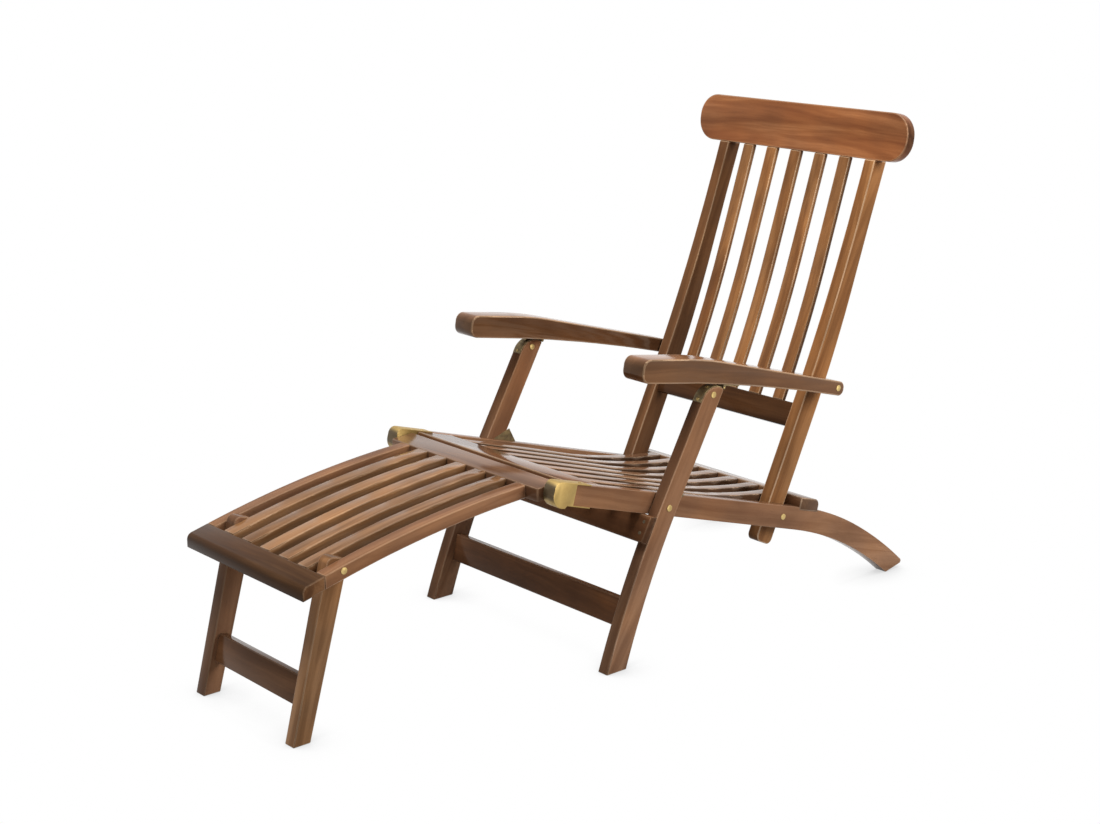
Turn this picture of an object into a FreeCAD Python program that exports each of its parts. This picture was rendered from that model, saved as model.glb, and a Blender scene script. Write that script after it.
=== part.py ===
"""A folding steamer deck chair in wood and brass, with a hinged footrest.

+X points to the back of the chair, +Y to the sitter's right and +Z up, and
the floor is Z = 0. Every wooden member is drawn in its own frame, whose
origin is the pivot that the member turns on.
"""
import FreeCAD, Part
import Sketcher
import math
import os

SIZES = {
    # Stance
    "leg_pivot_x": 22.4,
    "leg_pivot_height": 320.5,
    "seat_slope": 15.8,
    "running_gap": 0.3,
    "pin_clearance": 0.05,
    # Places across the chair, half widths from its middle plane
    "seat_half_width": 271.0,
    "seat_rail_thick": 30.0,
    "leg_side_gap": 1.3,
    "leg_thick": 28.0,
    "arm_width": 60.0,
    "post_side_gap": 5.0,
    "post_thick": 29.0,
    "slat_side_gap": 2.0,
    # Seat side rail, x along the rail from the leg pivot
    "rail_top": 24.3,
    "rail_under_front": 17.5,
    "rail_under_taper": 0.7,
    "rail_under_bend_x": 440.0,
    "rail_under_mid_x": 600.0,
    "rail_under_mid_drop": 43.0,
    "rail_top_bend_x": 450.0,
    "rail_top_mid_x": 640.0,
    "rail_top_mid_drop": 23.8,
    "heel_x": 741.0,
    "toe_x": 801.0,
    "toe_lift": 13.0,
    "toe_round": 6.0,
    "footrest_pivot_x": 270.0,
    "back_pivot_x": 393.0,
    "nose_reach": 26.0,
    "nose_top_round": 14.0,
    "nose_under_round": 22.0,
    # Seat cross rails and slats
    "front_rail_clear": 26.5,
    "front_rail_width": 94.5,
    "front_rail_thick": 24.0,
    "rear_rail_x": 443.0,
    "rear_rail_width": 62.0,
    "rear_rail_thick": 28.0,
    "rear_rail_let_in": 6.3,
    "rear_rail_round": 14.0,
    "seat_slat_width": 29.5,
    "seat_slat_thick": 24.0,
    "seat_dip_x": 150.0,
    "seat_dip": 4.0,
    # Brass caps on the rail noses
    "cap_wall": 2.0,
    "cap_side_wall": 1.6,
    "cap_plate_length": 57.0,
    "cap_top_tongue": 39.0,
    "cap_under_tongue": 46.0,
    "cap_heel_x": 8.0,
    "cap_heel_drop": 8.0,
    "cap_heel_slope": 5.5,
    "cap_top_round": 16.0,
    "cap_front_round": 27.0,
    # Pins and screws
    "pin_radius": 5.0,
    "pin_head_radius": 6.8,
    "pin_head_thick": 1.2,
    "washer_radius": 14.0,
    "screw_head_radius": 3.6,
    "screw_head_thick": 0.9,
    # Brass plates between rail and leg
    "plate_thick": 1.0,
    "plate_peak_x": 40.0,
    "plate_peak": 27.2,
    "plate_rear_x": 66.0,
    "plate_reach": 14.0,
    # Crossing legs, z along the leg from its pivot
    "leg_lean": 29.2,
    "leg_depth": 47.0,
    "leg_top": 270.5,
    "leg_bend_z": 10.0,
    "leg_foot_front": 168.4,
    "leg_foot_width": 53.3,
    "leg_top_front_round": 40.0,
    "leg_top_rear_round": 4.0,
    "leg_rivet_z": 249.0,
    "stop_board_thick": 16.5,
    "stop_board_height": 60.0,
    "stop_board_screw_inset": 18.0,
    "stretcher_top": 205.3,
    "stretcher_height": 60.5,
    "stretcher_thick": 20.0,
    "stretcher_tilt": 16.9,
    "stretcher_front_x": -1.8,
    # Brass straps and arm hinges
    "strap_thick": 1.5,
    "strap_width": 24.0,
    "strap_drop": 48.0,
    "strap_screw_drop": 42.0,
    "strap_screw_angle": 45.0,
    "knuckle_radius": 3.5,
    "knuckle_rise": 3.2,
    "knuckle_x": 24.7,
    "knuckle_width": 10.0,
    "hinge_pin_radius": 2.0,
    "leaf_thick": 2.0,
    "leaf_length": 44.0,
    "leaf_screw_spacing": 17.6,
    # Arms, x along the line from the leg hinge to the back pin
    "arm_front": 240.5,
    "arm_rear_overhang": 19.5,
    "arm_under": 6.2,
    "arm_under_front": 6.4,
    "arm_under_hump_x": 110.0,
    "arm_under_hump": 1.4,
    "arm_flat_drop": 1.54,
    "arm_under_rear": 19.0,
    "arm_top_front": 55.0,
    "arm_top_crest_x": 120.0,
    "arm_top_crest": 57.6,
    "arm_top_mid": 52.1,
    "arm_top_rear": 13.0,
    "arm_front_round": 19.0,
    "arm_rear_round": 14.5,
    # Back posts, z along the post from its pivot
    "post_lean": 25.7,
    "post_front": 18.5,
    "post_rear": 31.0,
    "post_bottom": 68.0,
    "post_bottom_round": 14.0,
    "post_bend_z": 250.0,
    "post_rear_bend_z": 230.0,
    "post_mid_z": 560.0,
    "post_mid_front": 30.0,
    "post_mid_depth": 41.5,
    "post_top_z": 805.0,
    "post_top_front": 54.5,
    "post_top_depth": 39.0,
    "arm_pin_x": 1.0,
    "arm_pin_z": 303.8,
    # Back rails and slats
    "head_tilt": 16.3,
    "head_half_length": 314.0,
    "head_height": 107.0,
    "head_thick": 24.5,
    "head_round": 50.0,
    "head_setback": 3.0,
    "lower_rail_z": 193.5,
    "lower_rail_height": 54.0,
    "lower_rail_thick": 20.0,
    "lower_rail_setback": 10.0,
    "back_slat_width": 31.5,
    "back_slat_thick": 10.5,
    "back_slat_pitch": 73.0,
    "back_slat_setback": 8.2,
    "back_slat_bend": 15.0,
    "back_slat_mid_front": 18.5,
    "back_slat_head_inset": 1.0,
    # Footrest, x and z from its hinge
    "footrest_half_width": 202.5,
    "footrest_rail_thick": 28.5,
    "footrest_depth": 27.0,
    "footrest_rear_x": 14.0,
    "footrest_rear_top": 17.5,
    "footrest_lug_front": 40.0,
    "footrest_lug_top": 13.8,
    "footrest_lug_gap": 3.0,
    "footrest_front_x": 516.5,
    "footrest_front_top": 62.0,
    "footrest_front_width": 49.0,
    "footrest_front_drop": 12.7,
    "footrest_front_round": 14.0,
    "footrest_slat_width": 33.0,
    "footrest_slat_thick": 23.0,
    "footrest_leg_pin_x": 474.9,
    "footrest_leg_pin_z": 61.5,
    # Footrest legs, z along the leg from its pin
    "footrest_leg_lean": 15.3,
    "footrest_leg_thick": 29.0,
    "footrest_leg_gap": 1.2,
    "footrest_leg_front": 18.5,
    "footrest_leg_rear": 28.0,
    "footrest_leg_top": 17.0,
    "footrest_leg_round": 14.0,
    "footrest_foot_front": 104.0,
    "footrest_foot_width": 38.5,
    "footrest_stretcher_top": 218.0,
    "footrest_stretcher_height": 57.5,
    "footrest_stretcher_thick": 19.0,
    "footrest_stretcher_front": 4.0,
}

SEAT_SLATS = 7
BACK_SLATS = 5
FOOTREST_SLATS = 5
SIDES = {"left": -1, "right": 1}

doc = FreeCAD.newDocument("SteamerDeckChair")
sheet = doc.addObject("Spreadsheet::Sheet", "Sizes")
Vector = FreeCAD.Vector
ACROSS = Vector(0, 1, 0)


class Size:
    """A number together with the sheet formula that gives it."""

    def __init__(self, number, formula):
        self.number = number
        self.formula = formula

    def joined(self, other, sign, number):
        return Size(number, "(" + self.formula + " " + sign + " " + size(other).formula + ")")

    def __add__(self, other):
        return self.joined(other, "+", self.number + size(other).number)

    def __sub__(self, other):
        return self.joined(other, "-", self.number - size(other).number)

    def __mul__(self, other):
        return self.joined(other, "*", self.number * size(other).number)

    def __truediv__(self, other):
        return self.joined(other, "/", self.number / size(other).number)

    def __neg__(self):
        return size(0.0) - self

    def __radd__(self, other):
        return size(other) + self

    def __rsub__(self, other):
        return size(other) - self

    def __rmul__(self, other):
        return size(other) * self


def size(value):
    """A plain number as a Size; a Size stays what it is."""
    if isinstance(value, Size):
        return value
    return Size(float(value), "(" + repr(float(value)) + ")")


def sine(angle):
    return Size(math.sin(math.radians(angle.number)), "sin(" + angle.formula + " * 1 deg)")


def cosine(angle):
    return Size(math.cos(math.radians(angle.number)), "cos(" + angle.formula + " * 1 deg)")


class Sizes:
    """The driving sizes by name, as written in the sheet."""


def fill_sheet():
    """Write each driving size into its own named cell."""
    names = Sizes()
    for row, (name, number) in enumerate(SIZES.items(), start=1):
        sheet.set("A" + str(row), name)
        sheet.set("B" + str(row), str(number))
        sheet.setAlias("B" + str(row), name)
        setattr(names, name, Size(number, "Sizes." + name))
    doc.recompute()
    return names


s = fill_sheet()

# Half widths that follow from the stack of pieces across the chair
leg_inner = s.seat_half_width + s.leg_side_gap
leg_outer = leg_inner + s.leg_thick
rail_inner = s.seat_half_width - s.seat_rail_thick
arm_inner = leg_outer - s.arm_width
post_outer = rail_inner - s.post_side_gap
post_inner = post_outer - s.post_thick
panel_half = post_inner - s.slat_side_gap
footrest_inner = s.footrest_half_width - s.footrest_rail_thick
lug_outer = rail_inner - s.footrest_lug_gap
footrest_leg_outer = footrest_inner - s.footrest_leg_gap
footrest_leg_inner = footrest_leg_outer - s.footrest_leg_thick
pin_hole = s.pin_radius + s.pin_clearance


class Frame:
    """A member's own frame: an origin in the chair and a lean to the back."""

    def __init__(self, x, z, lean):
        self.x = x
        self.z = z
        self.lean = lean

    def from_world(self, x, z):
        """Own coordinates of a point given from the frame's origin in level axes."""
        return (
            x * cosine(self.lean) - z * sine(self.lean),
            x * sine(self.lean) + z * cosine(self.lean),
        )

    def to_world(self, x, z):
        """Place in the chair of a point given in own coordinates."""
        return (
            self.x + x * cosine(self.lean) + z * sine(self.lean),
            self.z - x * sine(self.lean) + z * cosine(self.lean),
        )

    def placement(self, y=0.0):
        turn = FreeCAD.Rotation(ACROSS, self.lean.number)
        return FreeCAD.Placement(Vector(self.x.number, size(y).number, self.z.number), turn)


def arm_frame_between(hinge, pin):
    """The arm's frame: origin at the leg hinge, x towards the pin at the back."""
    run = pin[0].number - hinge[0].number
    fall = hinge[1].number - pin[1].number
    angle = math.degrees(math.atan2(fall, run))
    return Frame(hinge[0], hinge[1], size(angle)), size(math.hypot(run, fall))


seat = Frame(s.leg_pivot_x, s.leg_pivot_height, s.seat_slope)
leg = Frame(s.leg_pivot_x, s.leg_pivot_height, s.leg_lean)
back = Frame(*seat.to_world(s.back_pivot_x, size(0)), s.post_lean)
knuckle_z = s.leg_top + s.knuckle_rise
arm_hinge = leg.to_world(s.knuckle_x, knuckle_z)
arm_pin = back.to_world(s.arm_pin_x, s.arm_pin_z)
arm, arm_link = arm_frame_between(arm_hinge, arm_pin)
footrest = Frame(*seat.to_world(-s.footrest_pivot_x, size(0)), size(0))
footrest_leg = Frame(
    footrest.x - s.footrest_leg_pin_x,
    footrest.z - s.footrest_leg_pin_z,
    s.footrest_leg_lean,
)


def origin_plane(body, role):
    return [(item, "") for item in body.Origin.OriginFeatures if item.Role == role]


class Outline:
    """A sketch of a closed outline whose corners are bound to the sheet."""

    def __init__(self, body, name, role="XZ_Plane"):
        self.sketch = body.newObject("Sketcher::SketchObject", name)
        self.sketch.AttachmentSupport = origin_plane(body, role)
        self.sketch.MapMode = "FlatFace"
        self.corners = []

    def bind(self, kind, *where, value):
        """Add a constraint and bind its value to the sheet."""
        number = self.sketch.addConstraint(Sketcher.Constraint(kind, *where, value.number))
        self.sketch.setExpression("Constraints[" + str(number) + "]", value.formula)

    def fix(self, point, geometry, end):
        """Hold an end at a point, or join it to a corner that is already there."""
        x, z = size(point[0]), size(point[1])
        for known_x, known_z, known_geometry, known_end in self.corners:
            if abs(known_x - x.number) + abs(known_z - z.number) < 1e-6:
                self.sketch.addConstraint(
                    Sketcher.Constraint("Coincident", geometry, end, known_geometry, known_end)
                )
                return
        self.bind("DistanceX", -1, 1, geometry, end, value=x)
        self.bind("DistanceY", -1, 1, geometry, end, value=z)
        self.corners.append((x.number, z.number, geometry, end))

    def chain(self, start, *steps):
        """Lines, and arcs that each leave the step before them smoothly."""
        here = Vector(size(start[0]).number, size(start[1]).number, 0)
        heading = None
        before = None
        for kind, point in steps:
            there = Vector(size(point[0]).number, size(point[1]).number, 0)
            run = there - here
            if kind == "line":
                geometry = self.sketch.addGeometry(Part.LineSegment(here, there), False)
                first, last = 1, 2
                heading = run.normalize()
            else:
                side = Vector(-heading.y, heading.x, 0)
                radius = run.Length ** 2 / (2 * run.dot(side))
                centre = here + side * radius
                ends = [here, there] if radius > 0 else [there, here]
                angles = [math.atan2(end.y - centre.y, end.x - centre.x) for end in ends]
                if angles[1] < angles[0]:
                    angles[1] += 2 * math.pi
                circle = Part.Circle(centre, Vector(0, 0, 1), abs(radius))
                arc = Part.ArcOfCircle(circle, angles[0], angles[1])
                geometry = self.sketch.addGeometry(arc, False)
                first, last = (1, 2) if radius > 0 else (2, 1)
                out = there - centre
                heading = Vector(-out.y, out.x, 0).normalize() * (1 if radius > 0 else -1)
            if before is None:
                self.fix(start, geometry, first)
            elif kind == "line":
                self.sketch.addConstraint(
                    Sketcher.Constraint("Coincident", before[0], before[1], geometry, first)
                )
            else:
                self.sketch.addConstraint(
                    Sketcher.Constraint("Tangent", before[0], before[1], geometry, first)
                )
            self.fix(point, geometry, last)
            before = (geometry, last)
            here = there

    def polygon(self, *points):
        """Straight lines round all the points."""
        self.chain(points[0], *[("line", point) for point in points[1:] + points[:1]])

    def hole(self, point, radius):
        """A round hole."""
        centre = Vector(size(point[0]).number, size(point[1]).number, 0)
        circle = Part.Circle(centre, Vector(0, 0, 1), radius.number)
        geometry = self.sketch.addGeometry(circle, False)
        self.bind("DistanceX", -1, 1, geometry, 3, value=size(point[0]))
        self.bind("DistanceY", -1, 1, geometry, 3, value=size(point[1]))
        self.bind("Radius", geometry, value=radius)


PARTS = []


def new_body(label):
    body = doc.addObject("PartDesign::Body", label)
    body.Label = label
    PARTS.append(body)
    return body


def pad(body, outline, width, name="Pad"):
    """Raise an outline by half its width to each side of its plane."""
    feature = body.newObject("PartDesign::Pad", name)
    feature.Profile = outline.sketch
    feature.SideType = "Symmetric"
    feature.setExpression("Length", width.formula)
    doc.recompute()
    return feature


def pocket(body, outline, width, name="Pocket"):
    """Cut an outline by half a width to each side of its plane."""
    before = body.Shape.Volume
    feature = body.newObject("PartDesign::Pocket", name)
    feature.Profile = outline.sketch
    feature.SideType = "Symmetric"
    feature.setExpression("Length", width.formula)
    doc.recompute()
    if body.Shape.Volume >= before:
        raise RuntimeError(body.Label + ": the pocket cuts nothing")
    return feature


def round_corners(body, corners, radius):
    """Round the edges that run across the chair at the given corners."""
    base = body.Tip
    names = []
    for x, z in corners:
        place = (size(x).number, size(z).number)
        for number, edge in enumerate(base.Shape.Edges, start=1):
            ends = [vertex.Point for vertex in edge.Vertexes]
            away = [abs(end.x - place[0]) + abs(end.z - place[1]) for end in ends]
            if len(ends) == 2 and max(away) < 1e-4:
                names.append("Edge" + str(number))
    feature = body.newObject("PartDesign::Fillet", "Round")
    feature.Base = (base, names)
    feature.setExpression("Radius", radius.formula)
    doc.recompute()
    return feature


def plank(label, frame, inner, outer, outline, rounds=()):
    """A piece with one outline, from one half width to another on its own side."""
    body = new_body(label)
    drawing = Outline(body, "Profile")
    outline(drawing)
    pad(body, drawing, outer - inner)
    for corners, radius in rounds:
        round_corners(body, corners, radius)
    return body


def place(body, frame, inner, outer, side):
    """Seat a piece in its frame, between two half widths on one side."""
    body.Placement = frame.placement((inner + outer) / 2 * side)


def pair(name, frame, inner, outer, outline, rounds=()):
    """The same plank on the left and on the right."""
    for word, side in SIDES.items():
        body = plank(name + "_" + word, frame, inner, outer, outline, rounds)
        place(body, frame, inner, outer, side)


def across(label, frame, half, outline, rounds=()):
    """A plank that spans the chair, the same to both sides."""
    body = plank(label, frame, -half, half, outline, rounds)
    body.Placement = frame.placement()
    return body


def rod(frame, point, radius, inner, outer, side):
    """A round bar across the chair, from one half width to another."""
    bar = doc.addObject("Part::Cylinder", "Rod")
    bar.setExpression("Radius", radius.formula)
    bar.setExpression("Height", (outer - inner).formula)
    x, z = frame.to_world(size(point[0]), size(point[1]))
    start = inner if side > 0 else outer
    base = Vector(x.number, start.number * side, z.number)
    bar.Placement = FreeCAD.Placement(base, FreeCAD.Rotation(Vector(1, 0, 0), -90))
    return bar


def group(label, pieces):
    """Several solids in one node; those that touch become one solid."""
    node = doc.addObject("Part::MultiFuse", label)
    node.Label = label
    node.Shapes = pieces
    PARTS.append(node)
    return node


def screw(frame, x, z, y, lean):
    """A flat round screw head seated on a surface, facing along its lean."""
    head = doc.addObject("Part::Cylinder", "Screw")
    head.setExpression("Radius", s.screw_head_radius.formula)
    head.setExpression("Height", s.screw_head_thick.formula)
    place_x, place_z = frame.to_world(size(x), size(z))
    turn = FreeCAD.Rotation(ACROSS, frame.lean.number + lean)
    base = Vector(place_x.number, size(y).number, place_z.number)
    head.Placement = FreeCAD.Placement(base, turn)
    return head


rail_nose = -s.footrest_pivot_x - s.nose_reach
rear_rail_under = s.rail_top - s.rear_rail_let_in
rear_rail_top = rear_rail_under + s.rear_rail_thick
rear_rail_end = s.rear_rail_x + s.rear_rail_width


def rail_underside(x):
    """Height of the seat rail's straight underside at x."""
    fall = sine(s.rail_under_taper) / cosine(s.rail_under_taper)
    return -s.rail_under_front - (x - rail_nose) * fall


def round_the_nose():
    """Steps of an outline from the rail's top round its nose to its underside."""
    half_turn = 45 - s.rail_under_taper / 2
    reach = s.nose_under_round * sine(half_turn) / cosine(half_turn)
    under_x = rail_nose + reach * cosine(s.rail_under_taper)
    return [
        ("line", (rail_nose + s.nose_top_round, s.rail_top)),
        ("arc", (rail_nose, s.rail_top - s.nose_top_round)),
        ("line", (rail_nose, reach - s.rail_under_front)),
        ("arc", (under_x, rail_underside(under_x))),
    ]


def nose_outline(body, name):
    """The rail's nose as far back as the side plates of its cap reach."""
    rear = rail_nose - s.cap_wall + s.cap_plate_length
    drawing = Outline(body, name)
    drawing.chain(
        (rear, s.rail_top),
        *round_the_nose(),
        ("line", (rear, rail_underside(rear))),
        ("line", (rear, s.rail_top)),
    )
    return drawing


def shift_across(drawing, distance, side):
    """Move a sketch from its body's middle plane towards the middle of the chair."""
    shift = distance * side
    drawing.sketch.AttachmentOffset = FreeCAD.Placement(
        Vector(0, 0, shift.number), FreeCAD.Rotation()
    )


def seat_rails():
    """Side rails: round nose thinned for the cap, curved foot, room for the rear rail."""
    heel = seat.from_world(s.heel_x, -s.leg_pivot_height)
    toe = seat.from_world(s.toe_x, s.toe_lift - s.leg_pivot_height)

    def outline(drawing):
        drawing.chain(
            (0, s.rail_top),
            *round_the_nose(),
            ("line", (s.rail_under_bend_x, rail_underside(s.rail_under_bend_x))),
            ("arc", (s.rail_under_mid_x, -s.rail_under_mid_drop)),
            ("arc", heel),
            ("line", toe),
        )
        drawing.chain(
            (0, s.rail_top),
            ("line", (s.rail_top_bend_x, s.rail_top)),
            ("arc", (s.rail_top_mid_x, s.rail_top - s.rail_top_mid_drop)),
            ("arc", toe),
        )
        drawing.hole((0, 0), s.pin_radius)
        drawing.hole((s.back_pivot_x, 0), s.pin_radius)
        drawing.hole((-s.footrest_pivot_x, 0), pin_hole)

    rounds = [([toe], s.toe_round)]
    for word, side in SIDES.items():
        body = plank("seat_rail_" + word, seat, rail_inner, s.seat_half_width, outline, rounds)
        housing = Outline(body, "Housing")
        housing.polygon(
            (s.rear_rail_x, rear_rail_under),
            (rear_rail_end, rear_rail_under),
            (rear_rail_end, rear_rail_top),
            (s.rear_rail_x, rear_rail_top),
        )
        pocket(body, housing, s.seat_rail_thick)
        rebate = nose_outline(body, "Rebate")
        shift_across(rebate, s.seat_rail_thick / 2, side)
        pocket(body, rebate, s.cap_side_wall * 2)
        place(body, seat, rail_inner, s.seat_half_width, side)


def seat_cross_rails():
    """A wide rail between the side rails in front and one let into their tops behind."""
    front = s.front_rail_clear - s.footrest_pivot_x
    rear = front + s.front_rail_width
    under = s.rail_top - s.front_rail_thick

    def front_outline(drawing):
        drawing.polygon((front, under), (rear, under), (rear, s.rail_top), (front, s.rail_top))

    across("seat_front_rail", seat, rail_inner, front_outline)

    def rear_outline(drawing):
        drawing.polygon(
            (s.rear_rail_x, rear_rail_under),
            (rear_rail_end, rear_rail_under),
            (rear_rail_end, rear_rail_top),
            (s.rear_rail_x, rear_rail_top),
        )

    rounds = [([(rear_rail_end, rear_rail_top)], s.rear_rail_round)]
    across("seat_rear_rail", seat, s.seat_half_width, rear_outline, rounds)
    return rear


def slat_row(name, frame, count, width, half, outline, rounds=()):
    """Evenly spaced slats, numbered from the left, with the outer edges at a half width."""
    pitch = (half * 2 - width) / (count - 1)
    for number in range(count):
        middle = pitch * number - (half - width / 2)
        body = plank(name + "_" + str(number + 1), frame, size(0), width, outline, rounds)
        body.Placement = frame.placement(middle)


def seat_slats(front):
    """Dished slats: level behind the front rail, then rising to the rear rail."""

    def outline(drawing):
        for lift in (0, -s.seat_slat_thick):
            drawing.chain(
                (front, s.rail_top + lift),
                ("line", (s.seat_dip_x, s.rail_top - s.seat_dip + lift)),
                ("arc", (s.rear_rail_x, rear_rail_top + lift)),
            )
        drawing.chain((front, s.rail_top), ("line", (front, s.rail_top - s.seat_slat_thick)))
        foot = (s.rear_rail_x, rear_rail_top - s.seat_slat_thick)
        drawing.chain((s.rear_rail_x, rear_rail_top), ("line", foot))

    slat_row("seat_slat", seat, SEAT_SLATS, s.seat_slat_width, panel_half, outline)


def hinge_caps():
    """Brass caps round the rail noses and down both sides, with tongues over and under."""
    front = rail_nose - s.cap_wall
    plate_rear = front + s.cap_plate_length
    top_rear = plate_rear + s.cap_top_tongue
    under_rear = plate_rear + s.cap_under_tongue
    top = s.rail_top + s.cap_wall
    heel = -s.footrest_pivot_x + s.cap_heel_x
    heel_foot = (heel, rail_underside(heel) - s.cap_heel_drop)
    heel_back = heel + s.cap_heel_slope
    width = s.seat_rail_thick + s.cap_side_wall
    cap_outer = s.seat_half_width + s.cap_side_wall

    for word, side in SIDES.items():
        body = new_body("hinge_cap_" + word)
        shell = Outline(body, "Shell")
        shell.polygon(
            (top_rear, top),
            (front, top),
            (front, heel_foot[1]),
            heel_foot,
            (heel_back, rail_underside(heel_back) - s.cap_wall),
            (under_rear, rail_underside(under_rear) - s.cap_wall),
            (under_rear, rail_underside(under_rear)),
            (plate_rear, rail_underside(plate_rear)),
            (plate_rear, s.rail_top),
            (top_rear, s.rail_top),
        )
        pad(body, shell, width)
        round_corners(body, [(front, top)], s.cap_top_round)
        round_corners(body, [(front, heel_foot[1])], s.cap_front_round)
        pocket(body, nose_outline(body, "Room"), s.seat_rail_thick - s.cap_side_wall)
        bore = Outline(body, "Bore")
        bore.hole((-s.footrest_pivot_x, 0), pin_hole)
        shift_across(bore, width / 2, side)
        pocket(body, bore, s.cap_side_wall * 2)
        place(body, seat, rail_inner, cap_outer, side)
    middle = (rail_inner + s.seat_half_width) / 2
    heads = []
    for side in SIDES.values():
        heads.append(screw(seat, (plate_rear + top_rear) / 2, top, middle * side, 0))
        low = (plate_rear + under_rear) / 2
        face = rail_underside(low) - s.cap_wall
        heads.append(screw(seat, low, face, middle * side, 180 + s.rail_under_taper.number))
    group("hinge_cap_screws", heads)


def seat_pins():
    """Pivot pins for the legs and the back, their washers and the brass plates."""
    leg_pins = []
    back_pins = []
    for side in SIDES.values():
        head = leg_outer + s.running_gap
        leg_pins.append(rod(seat, (0, 0), s.pin_radius, rail_inner, head, side))
        leg_pins.append(
            rod(seat, (0, 0), s.pin_head_radius, head, head + s.pin_head_thick, side)
        )
        point = (s.back_pivot_x, 0)
        edge = s.seat_half_width
        back_pins.append(rod(seat, point, s.pin_radius, post_inner + s.running_gap, edge, side))
        back_pins.append(
            rod(seat, point, s.pin_head_radius, edge, edge + s.pin_head_thick, side)
        )
    group("leg_pivot_pins", leg_pins)
    group("back_pivot_pins", back_pins)

    washers = []
    for side in SIDES.values():
        start = post_outer + s.running_gap
        point = (s.back_pivot_x, 0)
        disc = rod(seat, point, s.washer_radius, start, rail_inner, side)
        bore = rod(seat, point, s.pin_radius, start, rail_inner, side)
        washer = doc.addObject("Part::Cut", "Washer")
        washer.Base = disc
        washer.Tool = bore
        washers.append(washer)
    group("back_spacer_washers", washers)

    def outline(drawing):
        drawing.polygon(
            (-s.plate_reach, -s.plate_reach),
            (s.plate_reach, -s.plate_reach),
            (s.plate_rear_x, s.rail_top),
            (s.plate_peak_x, s.rail_top + s.plate_peak),
            (-s.plate_reach, s.plate_reach),
        )
        drawing.hole((0, 0), s.pin_radius)

    plates = []
    for side in SIDES.values():
        body = doc.addObject("PartDesign::Body", "Plate")
        drawing = Outline(body, "Profile")
        outline(drawing)
        pad(body, drawing, s.plate_thick)
        place(body, seat, s.seat_half_width, s.seat_half_width + s.plate_thick, side)
        plates.append(body)
    group("pivot_plates", plates)


def leg_foot(behind):
    """A corner of the leg's foot on the floor, so far behind its front corner."""
    return leg.from_world(behind - s.leg_foot_front, -s.leg_pivot_height)


def legs():
    """Crossing legs: straight above, gently curved to the foot, round in front on top."""
    half = s.leg_depth / 2

    def outline(drawing):
        drawing.chain(
            (-half, s.leg_top),
            ("line", (-half, s.leg_bend_z)),
            ("arc", leg_foot(size(0))),
            ("line", leg_foot(s.leg_foot_width)),
        )
        drawing.chain(
            (half, s.leg_top),
            ("line", (half, s.leg_bend_z)),
            ("arc", leg_foot(s.leg_foot_width)),
        )
        drawing.chain((-half, s.leg_top), ("line", (half, s.leg_top)))
        drawing.hole((0, 0), pin_hole)
        drawing.hole((0, s.leg_rivet_z), s.pin_radius)

    rounds = [
        ([(-half, s.leg_top)], s.leg_top_front_round),
        ([(half, s.leg_top)], s.leg_top_rear_round),
    ]
    pair("leg", leg, leg_inner, leg_outer, outline, rounds)
    rivets = []
    for side in SIDES.values():
        point = (0, s.leg_rivet_z)
        for start, stop in (
            (leg_inner - s.pin_head_thick, leg_inner),
            (leg_outer, leg_outer + s.pin_head_thick),
        ):
            rivets.append(rod(leg, point, s.pin_head_radius, start, stop, side))
        rivets.append(rod(leg, point, s.pin_radius, leg_inner, leg_outer, side))
    group("leg_top_rivets", rivets)


def leg_boards():
    """The stop board that meets the rails from below, and the low stretcher."""
    front = -s.leg_depth / 2
    face = front - s.stop_board_thick
    turn = s.leg_lean - s.seat_slope
    slope = sine(turn) / cosine(turn)
    drop = (rail_underside(size(0)) - s.running_gap) / cosine(turn)
    bottom = front * slope + drop - s.stop_board_height

    def board(drawing):
        drawing.polygon(
            (face, bottom), (front, bottom), (front, front * slope + drop), (face, face * slope + drop)
        )

    across("leg_stop_board", leg, leg_outer, board)
    heads = []
    middle = (leg_inner + leg_outer) / 2
    for side in SIDES.values():
        for inset in (s.stop_board_screw_inset, s.stop_board_height - s.stop_board_screw_inset):
            heads.append(screw(leg, face, bottom + inset, middle * side, -90))
    group("stop_board_screws", heads)

    lean_x = sine(s.stretcher_tilt)
    lean_z = cosine(s.stretcher_tilt)
    corner = (s.stretcher_front_x, -s.stretcher_top)

    def stretcher(drawing):
        drawing.polygon(
            corner,
            (corner[0] + s.stretcher_height * lean_x, corner[1] - s.stretcher_height * lean_z),
            (
                corner[0] + s.stretcher_height * lean_x + s.stretcher_thick * lean_z,
                corner[1] - s.stretcher_height * lean_z + s.stretcher_thick * lean_x,
            ),
            (corner[0] + s.stretcher_thick * lean_z, corner[1] + s.stretcher_thick * lean_x),
        )

    across("leg_stretcher", leg, leg_inner, stretcher)


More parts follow.
